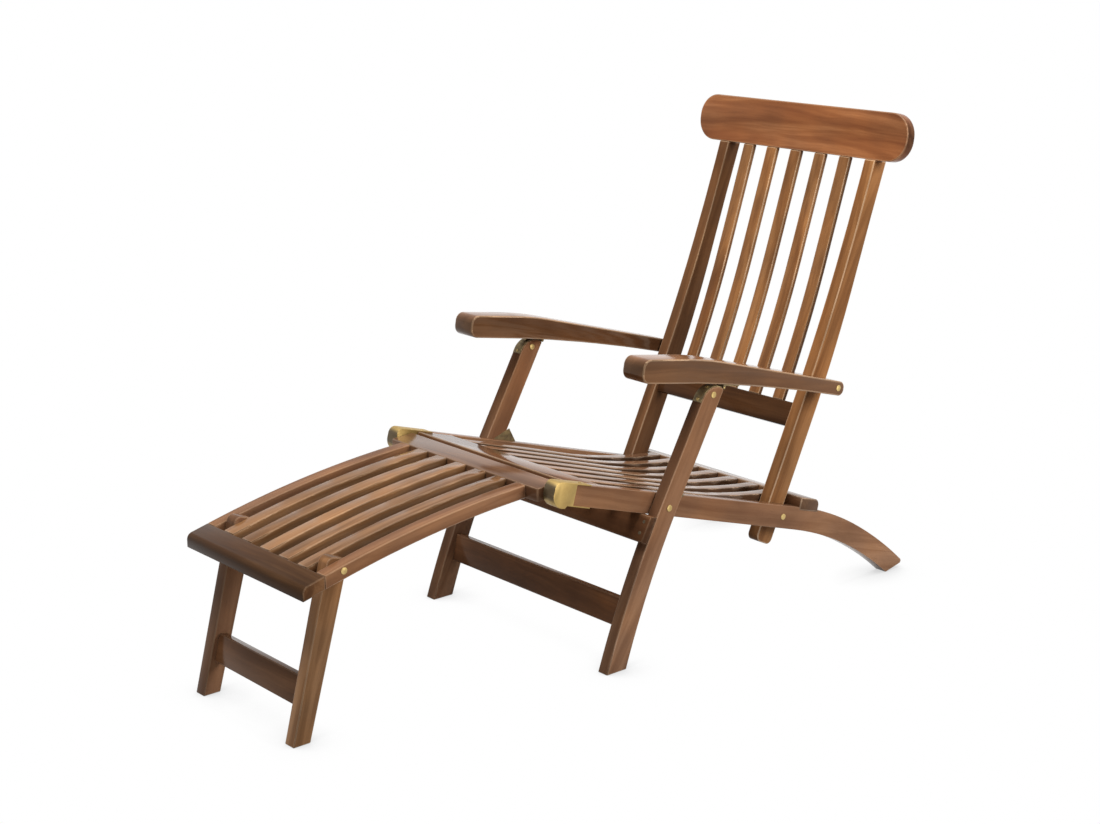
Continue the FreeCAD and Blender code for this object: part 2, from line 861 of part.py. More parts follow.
def straps():
    """Brass straps down the front and over the top of each leg, ending in a knuckle."""
    half = s.leg_depth / 2
    turn = s.leg_top_front_round
    side_end = s.knuckle_x - s.knuckle_radius * 2

    for word, side in SIDES.items():
        body = new_body("leg_strap_" + word)
        sheet_metal = Outline(body, "Sheet")
        for grow in (size(0), s.strap_thick):
            sheet_metal.chain(
                (-half - grow, s.leg_top - s.strap_drop),
                ("line", (-half - grow, s.leg_top - turn)),
                ("arc", (turn - half, s.leg_top + grow)),
                ("line", (side_end, s.leg_top + grow)),
            )
        bottom = s.leg_top - s.strap_drop
        sheet_metal.chain((-half, bottom), ("line", (-half - s.strap_thick, bottom)))
        sheet_metal.chain(
            (side_end, s.leg_top), ("line", (side_end, s.leg_top + s.strap_thick))
        )
        pad(body, sheet_metal, s.strap_width)
        neck = Outline(body, "Neck")
        neck.polygon(
            (side_end - s.strap_thick, s.leg_top),
            (s.knuckle_x, s.leg_top),
            (s.knuckle_x, knuckle_z),
            (s.knuckle_x - s.knuckle_radius, s.leg_top + s.strap_thick),
            (side_end - s.strap_thick, s.leg_top + s.strap_thick),
        )
        pad(body, neck, s.knuckle_width)
        knuckle = Outline(body, "Knuckle")
        knuckle.hole((s.knuckle_x, knuckle_z), s.knuckle_radius)
        pad(body, knuckle, s.knuckle_width)
        bore = Outline(body, "Bore")
        bore.hole((s.knuckle_x, knuckle_z), s.hinge_pin_radius)
        pocket(body, bore, s.knuckle_width * 2)
        place(body, leg, leg_inner, leg_outer, side)
    heads = []
    middle = (leg_inner + leg_outer) / 2
    bend_x = (turn + s.strap_thick) * sine(s.strap_screw_angle)
    bend_z = (turn + s.strap_thick) * cosine(s.strap_screw_angle)
    places = (
        (-half - s.strap_thick, s.leg_top - s.strap_screw_drop, -90),
        (turn - half - bend_x, s.leg_top - turn + bend_z, -s.strap_screw_angle.number),
    )
    for side in SIDES.values():
        for x, z, lean in places:
            heads.append(screw(leg, x, z, middle * side, lean))
    group("leg_strap_screws", heads)
    start = leg_inner + (s.leg_thick - s.strap_width) / 2
    pins = []
    for side in SIDES.values():
        end = start + s.strap_width
        pins.append(rod(arm, (0, 0), s.hinge_pin_radius, start, end, side))
    group("arm_hinge_pins", pins)


def arms():
    """Arms, deep in front and thin behind, each on a brass leaf and a pin."""
    front = -s.arm_front
    rear = arm_link + s.arm_rear_overhang
    slope = s.arm_flat_drop / s.leaf_length
    flat_start = (-s.knuckle_radius, s.arm_under + s.knuckle_radius * slope)
    flat_end = (s.leaf_length, s.arm_under - s.arm_flat_drop)

    def outline(drawing):
        drawing.chain(
            (front, s.arm_under_front),
            ("line", (-s.arm_under_hump_x, s.arm_under + s.arm_under_hump)),
            ("arc", flat_start),
            ("line", flat_end),
            ("arc", (rear, -s.arm_under_rear)),
        )
        drawing.chain(
            (front, s.arm_top_front),
            ("line", (-s.arm_top_crest_x, s.arm_top_crest)),
            ("arc", (0, s.arm_top_mid)),
            ("line", (rear, s.arm_top_rear)),
        )
        drawing.chain((front, s.arm_under_front), ("line", (front, s.arm_top_front)))
        drawing.chain((rear, -s.arm_under_rear), ("line", (rear, s.arm_top_rear)))
        drawing.hole((arm_link, 0), s.pin_radius)

    rounds = [
        ([(front, s.arm_under_front), (front, s.arm_top_front)], s.arm_front_round),
        ([(rear, -s.arm_under_rear), (rear, s.arm_top_rear)], s.arm_rear_round),
    ]
    pair("arm", arm, arm_inner, leg_outer, outline, rounds)
    for word, side in SIDES.items():
        body = new_body("arm_leaf_" + word)
        leaf = Outline(body, "Leaf")
        leaf.polygon(
            flat_start,
            (flat_start[0], flat_start[1] - s.leaf_thick),
            (s.leaf_length, s.arm_under - s.leaf_thick - s.arm_flat_drop),
            flat_end,
        )
        pad(body, leaf, s.strap_width)
        neck = Outline(body, "Neck")
        neck.polygon(
            (-s.knuckle_radius, 0),
            (s.knuckle_radius, 0),
            (s.knuckle_radius, s.arm_under - s.leaf_thick / 2),
            (-s.knuckle_radius, s.arm_under - s.leaf_thick / 2),
        )
        pad(body, neck, s.strap_width)
        knuckle = Outline(body, "Knuckle")
        knuckle.hole((0, 0), s.knuckle_radius)
        pad(body, knuckle, s.strap_width)
        room = Outline(body, "Room")
        reach = s.knuckle_radius + s.running_gap
        room.polygon((-reach, -reach), (reach, -reach), (reach, reach), (-reach, reach))
        pocket(body, room, s.knuckle_width + s.running_gap * 2)
        bore = Outline(body, "Bore")
        bore.hole((0, 0), s.hinge_pin_radius + s.pin_clearance)
        pocket(body, bore, s.strap_width * 2)
        place(body, arm, leg_inner, leg_outer, side)
        middle = (leg_inner + leg_outer) / 2
        angle = 180 + math.degrees(math.atan(slope.number))
        heads = []
        for along in (s.leaf_screw_spacing, s.leaf_screw_spacing * 2):
            height = s.arm_under - s.leaf_thick - slope * along
            heads.append(screw(arm, along, height, middle * side, angle))
        group("arm_leaf_screws_" + word, heads)
        stub = rod(arm, (arm_link, 0), s.pin_radius, post_outer + s.running_gap, leg_outer, side)
        head = rod(
            arm, (arm_link, 0), s.pin_head_radius, leg_outer, leg_outer + s.pin_head_thick, side
        )
        group("arm_back_pin_" + word, [stub, head])


def head_plane(x):
    """Height of the head rail's underside at x in the back frame."""
    slope = sine(s.head_tilt) / cosine(s.head_tilt)
    return s.post_top_z + (x + s.post_top_front) * slope


def back_frame():
    """Back posts, slats, lower rail and head rail."""
    mid_rear = s.post_mid_depth - s.post_mid_front
    top_rear = s.post_top_depth - s.post_top_front

    def post(drawing):
        drawing.chain(
            (-s.post_front, -s.post_bottom),
            ("line", (-s.post_front, s.post_bend_z)),
            ("arc", (-s.post_mid_front, s.post_mid_z)),
            ("arc", (-s.post_top_front, s.post_top_z)),
            ("line", (top_rear, head_plane(top_rear))),
        )
        drawing.chain(
            (s.post_rear, -s.post_bottom),
            ("line", (s.post_rear, s.post_rear_bend_z)),
            ("arc", (mid_rear, s.post_mid_z)),
            ("arc", (top_rear, head_plane(top_rear))),
        )
        drawing.chain(
            (-s.post_front, -s.post_bottom), ("line", (s.post_rear, -s.post_bottom))
        )
        drawing.hole((0, 0), pin_hole)

    corners = [(-s.post_front, -s.post_bottom), (s.post_rear, -s.post_bottom)]
    pair("back_post", back, post_inner, post_outer, post, [(corners, s.post_bottom_round)])

    rail_front = s.lower_rail_setback - s.post_front
    rail_rear = rail_front + s.lower_rail_thick
    rail_top = s.lower_rail_z + s.lower_rail_height

    def lower_rail(drawing):
        drawing.polygon(
            (rail_front, s.lower_rail_z),
            (rail_rear, s.lower_rail_z),
            (rail_rear, rail_top),
            (rail_front, rail_top),
        )

    across("lower_back_rail", back, post_inner, lower_rail)

    foot = rail_front + s.back_slat_setback
    end = s.head_setback + s.back_slat_head_inset - s.post_top_front

    def slat(drawing):
        for step in (size(0), s.back_slat_thick):
            drawing.chain(
                (foot + step, rail_top),
                ("line", (foot + step, rail_top + s.back_slat_bend)),
                ("arc", (step - s.back_slat_mid_front, s.post_mid_z)),
                ("arc", (end + step, head_plane(end + step))),
            )
        drawing.chain((foot, rail_top), ("line", (foot + s.back_slat_thick, rail_top)))
        drawing.chain(
            (end, head_plane(end)),
            ("line", (end + s.back_slat_thick, head_plane(end + s.back_slat_thick))),
        )

    half = s.back_slat_pitch * ((BACK_SLATS - 1) / 2) + s.back_slat_width / 2
    slat_row("back_slat", back, BACK_SLATS, s.back_slat_width, half, slat)

    body = new_body("head_rail")
    board = Outline(body, "Front", "YZ_Plane")
    board.polygon(
        (-s.head_half_length, 0),
        (s.head_half_length, 0),
        (s.head_half_length, s.head_height),
        (-s.head_half_length, s.head_height),
    )
    plate = body.newObject("PartDesign::Pad", "Pad")
    plate.Profile = board.sketch
    plate.setExpression("Length", s.head_thick.formula)
    doc.recompute()
    ends = []
    for number, edge in enumerate(plate.Shape.Edges, start=1):
        first, last = [vertex.Point for vertex in edge.Vertexes]
        if abs(first.y - last.y) + abs(first.z - last.z) < 1e-6:
            ends.append("Edge" + str(number))
    rounding = body.newObject("PartDesign::Fillet", "Ends")
    rounding.Base = (plate, ends)
    rounding.setExpression("Radius", s.head_round.formula)
    corner = s.head_setback - s.post_top_front
    x, z = back.to_world(corner, head_plane(corner))
    body.Placement = Frame(x, z, s.post_lean - s.head_tilt).placement()


def footrest_top(x):
    """Height of the footrest's straight rear part at x."""
    slope = (s.footrest_rear_top - s.footrest_lug_top) / (s.footrest_rear_x + s.footrest_lug_front)
    return s.footrest_lug_top + (x + s.footrest_lug_front) * slope


def footrest_member(depth):
    """Outline of a footrest rail or slat: one long bend from the rear rail to the front."""
    lug = -s.footrest_lug_front
    bend = -s.footrest_lug_front - s.footrest_depth

    def outline(drawing):
        for drop in (size(0), depth):
            drawing.chain(
                (lug, footrest_top(lug) - drop),
                ("line", (bend, footrest_top(bend) - drop)),
                ("arc", (-s.footrest_front_x, -s.footrest_front_top - drop)),
            )
        drawing.chain((lug, footrest_top(lug)), ("line", (lug, footrest_top(lug) - depth)))
        front = -s.footrest_front_x
        drawing.chain(
            (front, -s.footrest_front_top), ("line", (front, -s.footrest_front_top - depth))
        )

    return outline


def footrest_panel():
    """Footrest: side rails and slats between a front rail and a rear rail with lugs."""
    side_outline = footrest_member(s.footrest_depth)

    def bored(drawing):
        side_outline(drawing)
        drawing.hole((-s.footrest_leg_pin_x, -s.footrest_leg_pin_z), s.pin_radius)

    pair("footrest_rail", footrest, footrest_inner, s.footrest_half_width, bored)
    half = footrest_leg_inner - s.running_gap
    slats = footrest_member(s.footrest_slat_thick)
    slat_row("footrest_slat", footrest, FOOTREST_SLATS, s.footrest_slat_width, half, slats)

    rear_x = s.footrest_rear_x
    lug = -s.footrest_lug_front

    def rear_outline(drawing):
        drawing.polygon(
            (rear_x, s.footrest_rear_top),
            (lug, s.footrest_lug_top),
            (lug, s.footrest_lug_top - s.footrest_depth),
            (rear_x, s.footrest_rear_top - s.footrest_depth),
        )
        drawing.hole((0, 0), s.pin_radius)

    across("footrest_rear_rail", footrest, lug_outer, rear_outline)

    back_x = -s.footrest_front_x
    front_x = back_x - s.footrest_front_width
    back_z = -s.footrest_front_top
    front_z = back_z - s.footrest_front_drop

    def front_outline(drawing):
        drawing.polygon(
            (back_x, back_z),
            (front_x, front_z),
            (front_x, front_z - s.footrest_depth),
            (back_x, back_z - s.footrest_depth),
        )

    rounds = [([(front_x, front_z)], s.footrest_front_round)]
    across("footrest_front_rail", footrest, s.footrest_half_width, front_outline, rounds)

    hinge_pins = []
    leg_pins = []
    point = (-s.footrest_leg_pin_x, -s.footrest_leg_pin_z)
    for side in SIDES.values():
        inner = s.footrest_half_width
        outer = s.seat_half_width - s.running_gap
        hinge_pins.append(rod(footrest, (0, 0), s.pin_radius, inner, outer, side))
        edge = s.footrest_half_width
        leg_pins.append(rod(footrest, point, s.pin_radius, footrest_leg_inner, edge, side))
        leg_pins.append(
            rod(footrest, point, s.pin_head_radius, edge, edge + s.pin_head_thick, side)
        )
    group("footrest_hinge_pins", hinge_pins)
    group("footrest_leg_pins", leg_pins)


def footrest_legs():
    """Footrest legs and the stretcher between them."""

    def foot(behind):
        return footrest_leg.from_world(behind - s.footrest_foot_front, -footrest_leg.z)

    def outline(drawing):
        drawing.polygon(
            (-s.footrest_leg_front, s.footrest_leg_top),
            foot(size(0)),
            foot(s.footrest_foot_width),
            (s.footrest_leg_rear, s.footrest_leg_top),
        )
        drawing.hole((0, 0), pin_hole)

    top = s.footrest_leg_top
    corners = [(-s.footrest_leg_front, top), (s.footrest_leg_rear, top)]
    rounds = [(corners, s.footrest_leg_round)]
    pair("footrest_leg", footrest_leg, footrest_leg_inner, footrest_leg_outer, outline, rounds)

    face = -s.footrest_stretcher_front
    rear = face + s.footrest_stretcher_thick
    upper = -s.footrest_stretcher_top
    lower = upper - s.footrest_stretcher_height

    def stretcher(drawing):
        drawing.polygon((face, lower), (rear, lower), (rear, upper), (face, upper))

    across("footrest_leg_stretcher", footrest_leg, footrest_leg_inner, stretcher)


def check_and_write():
    """Stop on any failed object or shape, then write one file for each piece."""
    doc.recompute()
    for item in doc.Objects:
        if "Invalid" in item.State or "Error" in item.State:
            raise RuntimeError(item.Label + " failed: " + str(item.State))
    for part in PARTS:
        if part.Shape.isNull() or not part.Shape.isValid() or not part.Shape.Solids:
            raise RuntimeError(part.Label + " has no valid solid")
    os.makedirs("parts", exist_ok=True)
    for part in PARTS:
        part.Shape.exportStep("parts/" + part.Label + ".step")
    print(len(PARTS), "pieces written")


seat_rails()
seat_slats(seat_cross_rails())
hinge_caps()
seat_pins()
legs()
leg_boards()
straps()
arms()
back_frame()
footrest_panel()
footrest_legs()
check_and_write()
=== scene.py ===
# %% [markdown]
# # A steamer deck chair
# The chair is oiled hardwood with brass fittings, and it folds flat about its pivots. Its frame
# comes in from the CAD model, whose pieces already have the right size and place. Every piece
# could be modelled again here, but then the pivots might no longer line up. So this lesson keeps
# those shapes and adds what makes timber and brass look real: softened arrises, grain that runs
# along each board, screws, and a finish with painted light, shade and highlights.

# %% Load the frame
import bmesh
import bpy
import math
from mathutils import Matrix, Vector


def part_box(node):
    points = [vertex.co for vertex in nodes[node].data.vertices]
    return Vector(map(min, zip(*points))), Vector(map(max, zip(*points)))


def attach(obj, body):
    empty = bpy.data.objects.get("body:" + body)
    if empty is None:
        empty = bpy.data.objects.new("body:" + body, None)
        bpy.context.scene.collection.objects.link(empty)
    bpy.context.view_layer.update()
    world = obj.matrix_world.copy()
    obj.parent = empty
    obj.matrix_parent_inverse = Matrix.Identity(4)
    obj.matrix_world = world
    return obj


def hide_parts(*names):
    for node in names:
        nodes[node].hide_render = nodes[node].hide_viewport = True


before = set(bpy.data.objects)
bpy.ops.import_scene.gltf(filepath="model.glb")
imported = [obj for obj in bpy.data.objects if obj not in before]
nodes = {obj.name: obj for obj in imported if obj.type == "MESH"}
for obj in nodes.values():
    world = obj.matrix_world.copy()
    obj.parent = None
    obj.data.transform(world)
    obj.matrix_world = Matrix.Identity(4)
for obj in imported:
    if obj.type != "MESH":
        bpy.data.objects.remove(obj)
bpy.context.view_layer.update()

# %% [markdown]
# ## Camera
# The chair is seen from the front and from its left side, a little above the arms. A camera can
# be placed by eye. This one was worked out from the chair's straight edges in the photograph, so
# that the render can be laid beside it. A long lens from 4 m away gives the calm perspective of
# a catalogue picture.

# %% Place the camera
YAW, PITCH = 0.71436, 0.26347
SENSOR_WIDTH, LENS = 36.0, 62.76
CAMERA_PLACE = (-2.5947, -2.9480, 1.5252)
camera_data = bpy.data.cameras.new("catalogue_camera")
camera_data.sensor_width = SENSOR_WIDTH
camera_data.lens = LENS
camera = bpy.data.objects.new("catalogue_camera", camera_data)
camera.location = CAMERA_PLACE
looking = Vector((
    math.sin(YAW) * math.cos(PITCH),
    math.cos(YAW) * math.cos(PITCH),
    -math.sin(PITCH),
))
camera.rotation_euler = looking.to_track_quat("-Z", "Y").to_euler()
bpy.context.scene.collection.objects.link(camera)
bpy.context.scene.camera = camera
bpy.context.scene.view_settings.view_transform = "Standard"
print("camera looks along", [round(part, 3) for part in looking])

# %% [markdown]
# ## Timber
# Oiled hardwood has long streaks of lighter and darker wood, fine dark pores along the grain and
# a low sheen. A photograph of a plank could be wrapped round each board, but its grain would
# stop at every corner. Noise that is worked out in space runs through the whole board, as real
# grain does, so the timber here is made of noise alone. It takes a few small helpers first.

# %% Helpers that build a node tree
def link(tree, source, target):
    """Join an output socket to an input socket."""
    tree.links.new(source, target)


def add(tree, kind, **settings):
    """Add a node and set its properties."""
    node = tree.nodes.new(kind)
    for name, value in settings.items():
        setattr(node, name, value)
    return node


def new_group(name, kind, inputs, outputs):
    """A node group with named sockets, and the nodes at its two ends."""
    group = bpy.data.node_groups.new(name, kind)
    for way, sockets in (("INPUT", inputs), ("OUTPUT", outputs)):
        for label, carries in sockets.items():
            group.interface.new_socket(label, in_out=way, socket_type="NodeSocket" + carries)
    return group, add(group, "NodeGroupInput"), add(group, "NodeGroupOutput")


def new_material(name):
    """A material, its node tree and its main shader."""
    material = bpy.data.materials.new(name)
    material.use_nodes = True
    return material, material.node_tree, material.node_tree.nodes["Principled BSDF"]


print("helpers for node trees ready")


# %% Helpers that make patterns
def noise(tree, place, waves, detail, roughness, distortion=0.0):
    """A noise from 0 to 1, with so many waves in a metre along X, Y and Z."""
    stretched = add(tree, "ShaderNodeVectorMath", operation="MULTIPLY")
    stretched.inputs[1].default_value = waves
    link(tree, place, stretched.inputs[0])
    node = add(tree, "ShaderNodeTexNoise")
    node.inputs["Scale"].default_value = 1.0
    node.inputs["Detail"].default_value = detail
    node.inputs["Roughness"].default_value = roughness
    node.inputs["Distortion"].default_value = distortion
    link(tree, stretched.outputs["Vector"], node.inputs["Vector"])
    return node.outputs["Fac"]


def spread(tree, value, low, high, to_low=0.0, to_high=1.0):
    """Map a value from one range to another, held at the ends."""
    node = add(tree, "ShaderNodeMapRange")
    node.inputs["From Min"].default_value = low
    node.inputs["From Max"].default_value = high
    node.inputs["To Min"].default_value = to_low
    node.inputs["To Max"].default_value = to_high
    link(tree, value, node.inputs["Value"])
    return node.outputs["Result"]


def combine(tree, operation, first, second):
    """The sum, the product or the larger of two values."""
    node = add(tree, "ShaderNodeMath", operation=operation)
    link(tree, first, node.inputs[0])
    link(tree, second, node.inputs[1])
    return node.outputs[0]


print("helpers for patterns ready")


# %% Helpers that colour and tilt a surface
def blend_colours(tree, factor, first, second, how="MIX"):
    """Blend a second colour over a first; each is a socket or four numbers."""
    node = add(tree, "ShaderNodeMix", data_type="RGBA", blend_type=how)
    sources = {"Factor": factor, "A": first, "B": second}
    for name, source in sources.items():
        if hasattr(source, "is_linked"):
            link(tree, source, node.inputs[name])
        else:
            node.inputs[name].default_value = source
    return node.outputs["Result"]


def relief(tree, shader, height, strength, depth):
    """Let a height pattern tilt the surface a little in the light, without moving it."""
    bump = add(tree, "ShaderNodeBump")
    bump.inputs["Strength"].default_value = strength
    bump.inputs["Distance"].default_value = depth
    link(tree, height, bump.inputs["Height"])
    link(tree, bump.outputs["Normal"], shader.inputs["Normal"])


print("helpers for surfaces ready")

# %% [markdown]
# ### Grain
# A tree grows in layers, so a plank cut from it shows long bands, streaks inside the bands, and
# pores finer than a hair. Blender has a wave texture for rings, but its bands are too even for
# this wood. Here each kind of mark is a noise of its own, long along the board and narrow across
# it, and one slow noise bends their lines together, as grain bends round an old knot. Two more
# noises stay unbent: one makes a board uneven in tone, and one gives it golden patches.

# %% The patterns of the grain
# Waves in a metre along the board and twice across it, then detail, roughness and distortion.
WANDER = ((2.0, 9.0, 9.0), 3.0, 0.5)
BEND = (0.0, 0.035, 0.035)
BENT_PATTERNS = {
    "bands": ((1.5, 24.0, 24.0), 3.0, 0.55, 0.8),
    "streaks": ((2.6, 85.0, 85.0), 4.0, 0.6, 0.5),
    "fine lines": ((9.0, 320.0, 320.0), 3.0, 0.6),
    "pores": ((60.0, 1600.0, 1600.0), 2.0, 0.5),
}
STRAIGHT_PATTERNS = {
    "board": ((1.1, 17.0, 17.0), 1.0, 0.5),
    "patches": ((8.0, 11.0, 11.0), 2.0, 0.5),
}


def grain_patterns(group, place):
    """All patterns of the grain by name, read at a place that is turned to the board."""
    bent = add(group, "ShaderNodeVectorMath", operation="MULTIPLY_ADD")
    bent.inputs[1].default_value = BEND
    link(group, noise(group, place, *WANDER), bent.inputs[0])
    link(group, place, bent.inputs[2])
    patterns = {}
    for name, shape in BENT_PATTERNS.items():
        patterns[name] = noise(group, bent.outputs["Vector"], *shape)
    for name, shape in STRAIGHT_PATTERNS.items():
        patterns[name] = noise(group, place, *shape)
    return patterns


print("grain of", ", ".join([*BENT_PATTERNS, *STRAIGHT_PATTERNS]))

# %% The colours that the patterns lay down
PORE = (0.02, 0.012, 0.008, 1.0)
GOLDEN = (1.0, 0.93, 0.78, 1.0)
SHADES = ("Light", "Middle", "Dark")
# Pattern, where in it the layer begins and is full, its strength there, its colour and blend.
LAYERS = (
    ("bands", (0.26, 0.54), 1.0, "Middle", "MIX"),
    ("bands", (0.46, 0.76), 1.0, "Light", "MIX"),
    ("streaks", (0.52, 0.30), 0.46, "Dark", "MIX"),
    ("fine lines", (0.52, 0.36), 0.14, "Dark", "MIX"),
    ("pores", (0.40, 0.28), 0.22, PORE, "MIX"),
    ("patches", (0.44, 0.64), 0.5, GOLDEN, "MULTIPLY"),
)


def layered_colour(group, given, patterns):
    """The dark shade with every layer laid over it in turn."""
    colour = given.outputs["Dark"]
    for name, (begins, full), strength, paint, how in LAYERS:
        amount = spread(group, patterns[name], begins, full, 0.0, strength)
        over = given.outputs[paint] if paint in SHADES else paint
        colour = blend_colours(group, amount, colour, over, how)
    return colour


print(len(LAYERS), "layers of colour")

# %% [markdown]
# ### Painted light and shade
# A chair isn't equally dark all round. End grain drinks more oil and dries darker. The rest is
# painted light and shade: each face of a board is painted lighter or darker by the way that it
# points, as the lamps and the shade fall on it, and wood near the floor is painted paler and less
# red, as painted light from the floor. This could be painted on by hand. The way that a face
# points, and its height, say the same in a few numbers for each board, and they stay with the
# board when the chair folds.

# %% Tones by face and by height
# Wood near the floor is painted paler and less red, standing in for light thrown up by the floor.
FLOOR_LIGHT_STARTS, FLOOR_LIGHT_FULL = 0.45, 0.10
FLOOR_LIGHT_TINT = (1.06, 1.18, 1.36, 1.0)


def face_tone(group, facing, tones):
    """A face's tone by the way it points: dark end grain, and painted light and shade elsewhere."""
    squared = add(group, "ShaderNodeVectorMath", operation="MULTIPLY")
    link(group, facing, squared.inputs[0])
    link(group, facing, squared.inputs[1])
    chosen = add(group, "ShaderNodeVectorMath", operation="DOT_PRODUCT")
    link(group, squared.outputs["Vector"], chosen.inputs[0])
    link(group, tones, chosen.inputs[1])
    return chosen.outputs["Value"]


def bleached(group, colour, place):
    """A colour painted paler and less red near the floor, as painted light from the floor."""
    height = add(group, "ShaderNodeSeparateXYZ")
    link(group, place, height.inputs[0])
    low_down = spread(group, height.outputs["Z"], FLOOR_LIGHT_STARTS, FLOOR_LIGHT_FULL)
    return blend_colours(group, low_down, colour, FLOOR_LIGHT_TINT, "MULTIPLY")


print("wood lightens below", FLOOR_LIGHT_STARTS, "m")

# %% The recipe for oiled timber
# Nearly all of a noise lies in its span, which is narrower where the noise has little detail.
NOISE_SPAN = (0.3, 0.7)
PLAIN_NOISE_SPAN = (0.32, 0.68)
BOARD_TONES = (0.82, 1.18)
PATCH_TONES = (0.86, 1.14)
OPEN_PORES = (0.30, 0.45)
SHEEN = (0.16, 0.10)


def turned(group, vector, turn):
    """A place or a direction, turned so that the board's length lies along X."""
    node = add(group, "ShaderNodeMapping", vector_type="POINT")
    link(group, vector, node.inputs["Vector"])
    link(group, turn, node.inputs["Rotation"])
    return node.outputs["Vector"]


def build_timber_recipe():
    """A node group that gives colour, roughness and height for a board."""
    takes = {"Turn": "Vector", "Face tones": "Vector", **dict.fromkeys(SHADES, "Color")}
    gives = {"Colour": "Color", "Roughness": "Float", "Height": "Float"}
    group, given, result = new_group("oiled_timber", "ShaderNodeTree", takes, gives)
    spot = add(group, "ShaderNodeTexCoord")
    place = turned(group, spot.outputs["Object"], given.outputs["Turn"])
    facing = turned(group, spot.outputs["Normal"], given.outputs["Turn"])
    patterns = grain_patterns(group, place)
    uneven = combine(
        group, "MULTIPLY",
        spread(group, patterns["board"], *PLAIN_NOISE_SPAN, *BOARD_TONES),
        spread(group, patterns["patches"], *PLAIN_NOISE_SPAN, *PATCH_TONES),
    )
    tone = combine(group, "MULTIPLY", uneven, face_tone(group, facing, given.outputs["Face tones"]))
    toned = add(group, "ShaderNodeVectorMath", operation="SCALE")
    colour = layered_colour(group, given, patterns)
    link(group, bleached(group, colour, spot.outputs["Object"]), toned.inputs["Vector"])
    link(group, tone, toned.inputs["Scale"])
    link(group, toned.outputs["Vector"], result.inputs["Colour"])
    link(group, spread(group, patterns["streaks"], *NOISE_SPAN, *SHEEN), result.inputs["Roughness"])
    ridges = spread(group, patterns["fine lines"], *NOISE_SPAN)
    pits = spread(group, patterns["pores"], *OPEN_PORES)
    link(group, combine(group, "ADD", ridges, pits), result.inputs["Height"])
    return group


TIMBER_RECIPE = build_timber_recipe()
print("timber recipe has", len(TIMBER_RECIPE.nodes), "nodes")

# %% [markdown]
# ### Tones
# A chair's boards come from more than one plank, so some are tan, some golden and some nearly
# chocolate. One random tint per board would be quick, but the real boards keep their tones in
# pairs and panels. So a few named tones are mixed, each with a light, a middle and a dark shade,
# and every board picks one. The darkest tone is painted shade, for boards that sit in shade. The
# arrises of a tone get a paler painted highlight.

# %% The tones of the boards
TONES = {
    "fawn": ((0.275, 0.138, 0.071, 1), (0.227, 0.108, 0.053, 1), (0.155, 0.067, 0.032, 1)),
    "oat": ((0.30, 0.150, 0.066, 1), (0.220, 0.104, 0.044, 1), (0.125, 0.054, 0.021, 1)),
    "honey": ((0.42, 0.198, 0.077, 1), (0.310, 0.134, 0.048, 1), (0.165, 0.064, 0.023, 1)),
    "russet": ((0.54, 0.240, 0.105, 1), (0.350, 0.134, 0.052, 1), (0.175, 0.056, 0.023, 1)),
    "walnut": ((0.25, 0.118, 0.050, 1), (0.155, 0.068, 0.027, 1), (0.085, 0.034, 0.014, 1)),
    "umber": ((0.205, 0.096, 0.044, 1), (0.160, 0.070, 0.030, 1), (0.110, 0.046, 0.020, 1)),
    # The darkest tone below is painted shade, for boards in shade under the seat, the back and the
    # footrest.
    "dusk": ((0.150, 0.064, 0.027, 1), (0.105, 0.043, 0.018, 1), (0.062, 0.025, 0.011, 1)),
}
# Arris shades are blended towards this paler colour by a share for each tone: a painted highlight
# along the softened edges.
HIGHLIGHT_COLOUR = Vector((0.80, 0.56, 0.36, 1.0))
PAINTED_ARRIS_HIGHLIGHT = {
    "fawn": 0.12, "oat": 0.12, "honey": 0.42, "russet": 0.22, "walnut": 0.08, "umber": 0.26,
    "dusk": 0.04,
}
print("tones:", ", ".join(TONES))

# %% [markdown]
# ### Oil
# Oil lies in the wood rather than on it, so the boards shine only softly and their shine is
# warm. A strong coat would look like varnish. A low index of refraction keeps the shine weak
# where the eye looks straight at a face and lets it rise at a slant, and a golden tint on the
# reflection keeps a pale room from veiling the brown.

# %% Timber for boards that run in any direction
# Tones of a board's ends, of its sides, and of its top and bottom, where 1 changes nothing.
EVEN = (0.6, 1.0, 1.0)
SOFT_GLOSS = 1.12
OILED_TINT = (1.0, 0.70, 0.45, 1.0)
GRAIN_STRENGTH, GRAIN_DEPTH = 0.03, 0.0003


def timber(tone, turn, highlight_share=0.0, face_tones=EVEN, gloss=SOFT_GLOSS):
    """The timber material of one tone, with the grain turned to a board's length."""
    angles = [str(round(math.degrees(angle))) for angle in turn]
    marks = [str(round(100 * value)) for value in (*face_tones, gloss)]
    name = "_".join(["worn" if highlight_share else "timber", tone, *angles, *marks])
    name = name.replace("-", "m")
    if name in bpy.data.materials:
        return bpy.data.materials[name]
    material, tree, shader = new_material(name)
    recipe = add(tree, "ShaderNodeGroup", node_tree=TIMBER_RECIPE)
    recipe.inputs["Turn"].default_value = turn
    recipe.inputs["Face tones"].default_value = face_tones
    for shade, colour in zip(SHADES, TONES[tone]):
        recipe.inputs[shade].default_value = Vector(colour).lerp(HIGHLIGHT_COLOUR, highlight_share)
    link(tree, recipe.outputs["Colour"], shader.inputs["Base Color"])
    link(tree, recipe.outputs["Roughness"], shader.inputs["Roughness"])
    relief(tree, shader, recipe.outputs["Height"], GRAIN_STRENGTH, GRAIN_DEPTH)
    shader.inputs["IOR"].default_value = gloss
    shader.inputs["Specular Tint"].default_value = OILED_TINT
    return material


def faces_and_arrises(tone, turn, face_tones, gloss=SOFT_GLOSS):
    """The timber for a board's faces, and the paler timber with a painted highlight for its
    arrises.
    """
    faces = timber(tone, turn, 0.0, face_tones, gloss)
    arrises = timber(tone, turn, PAINTED_ARRIS_HIGHLIGHT[tone], face_tones, gloss)
    return faces, arrises


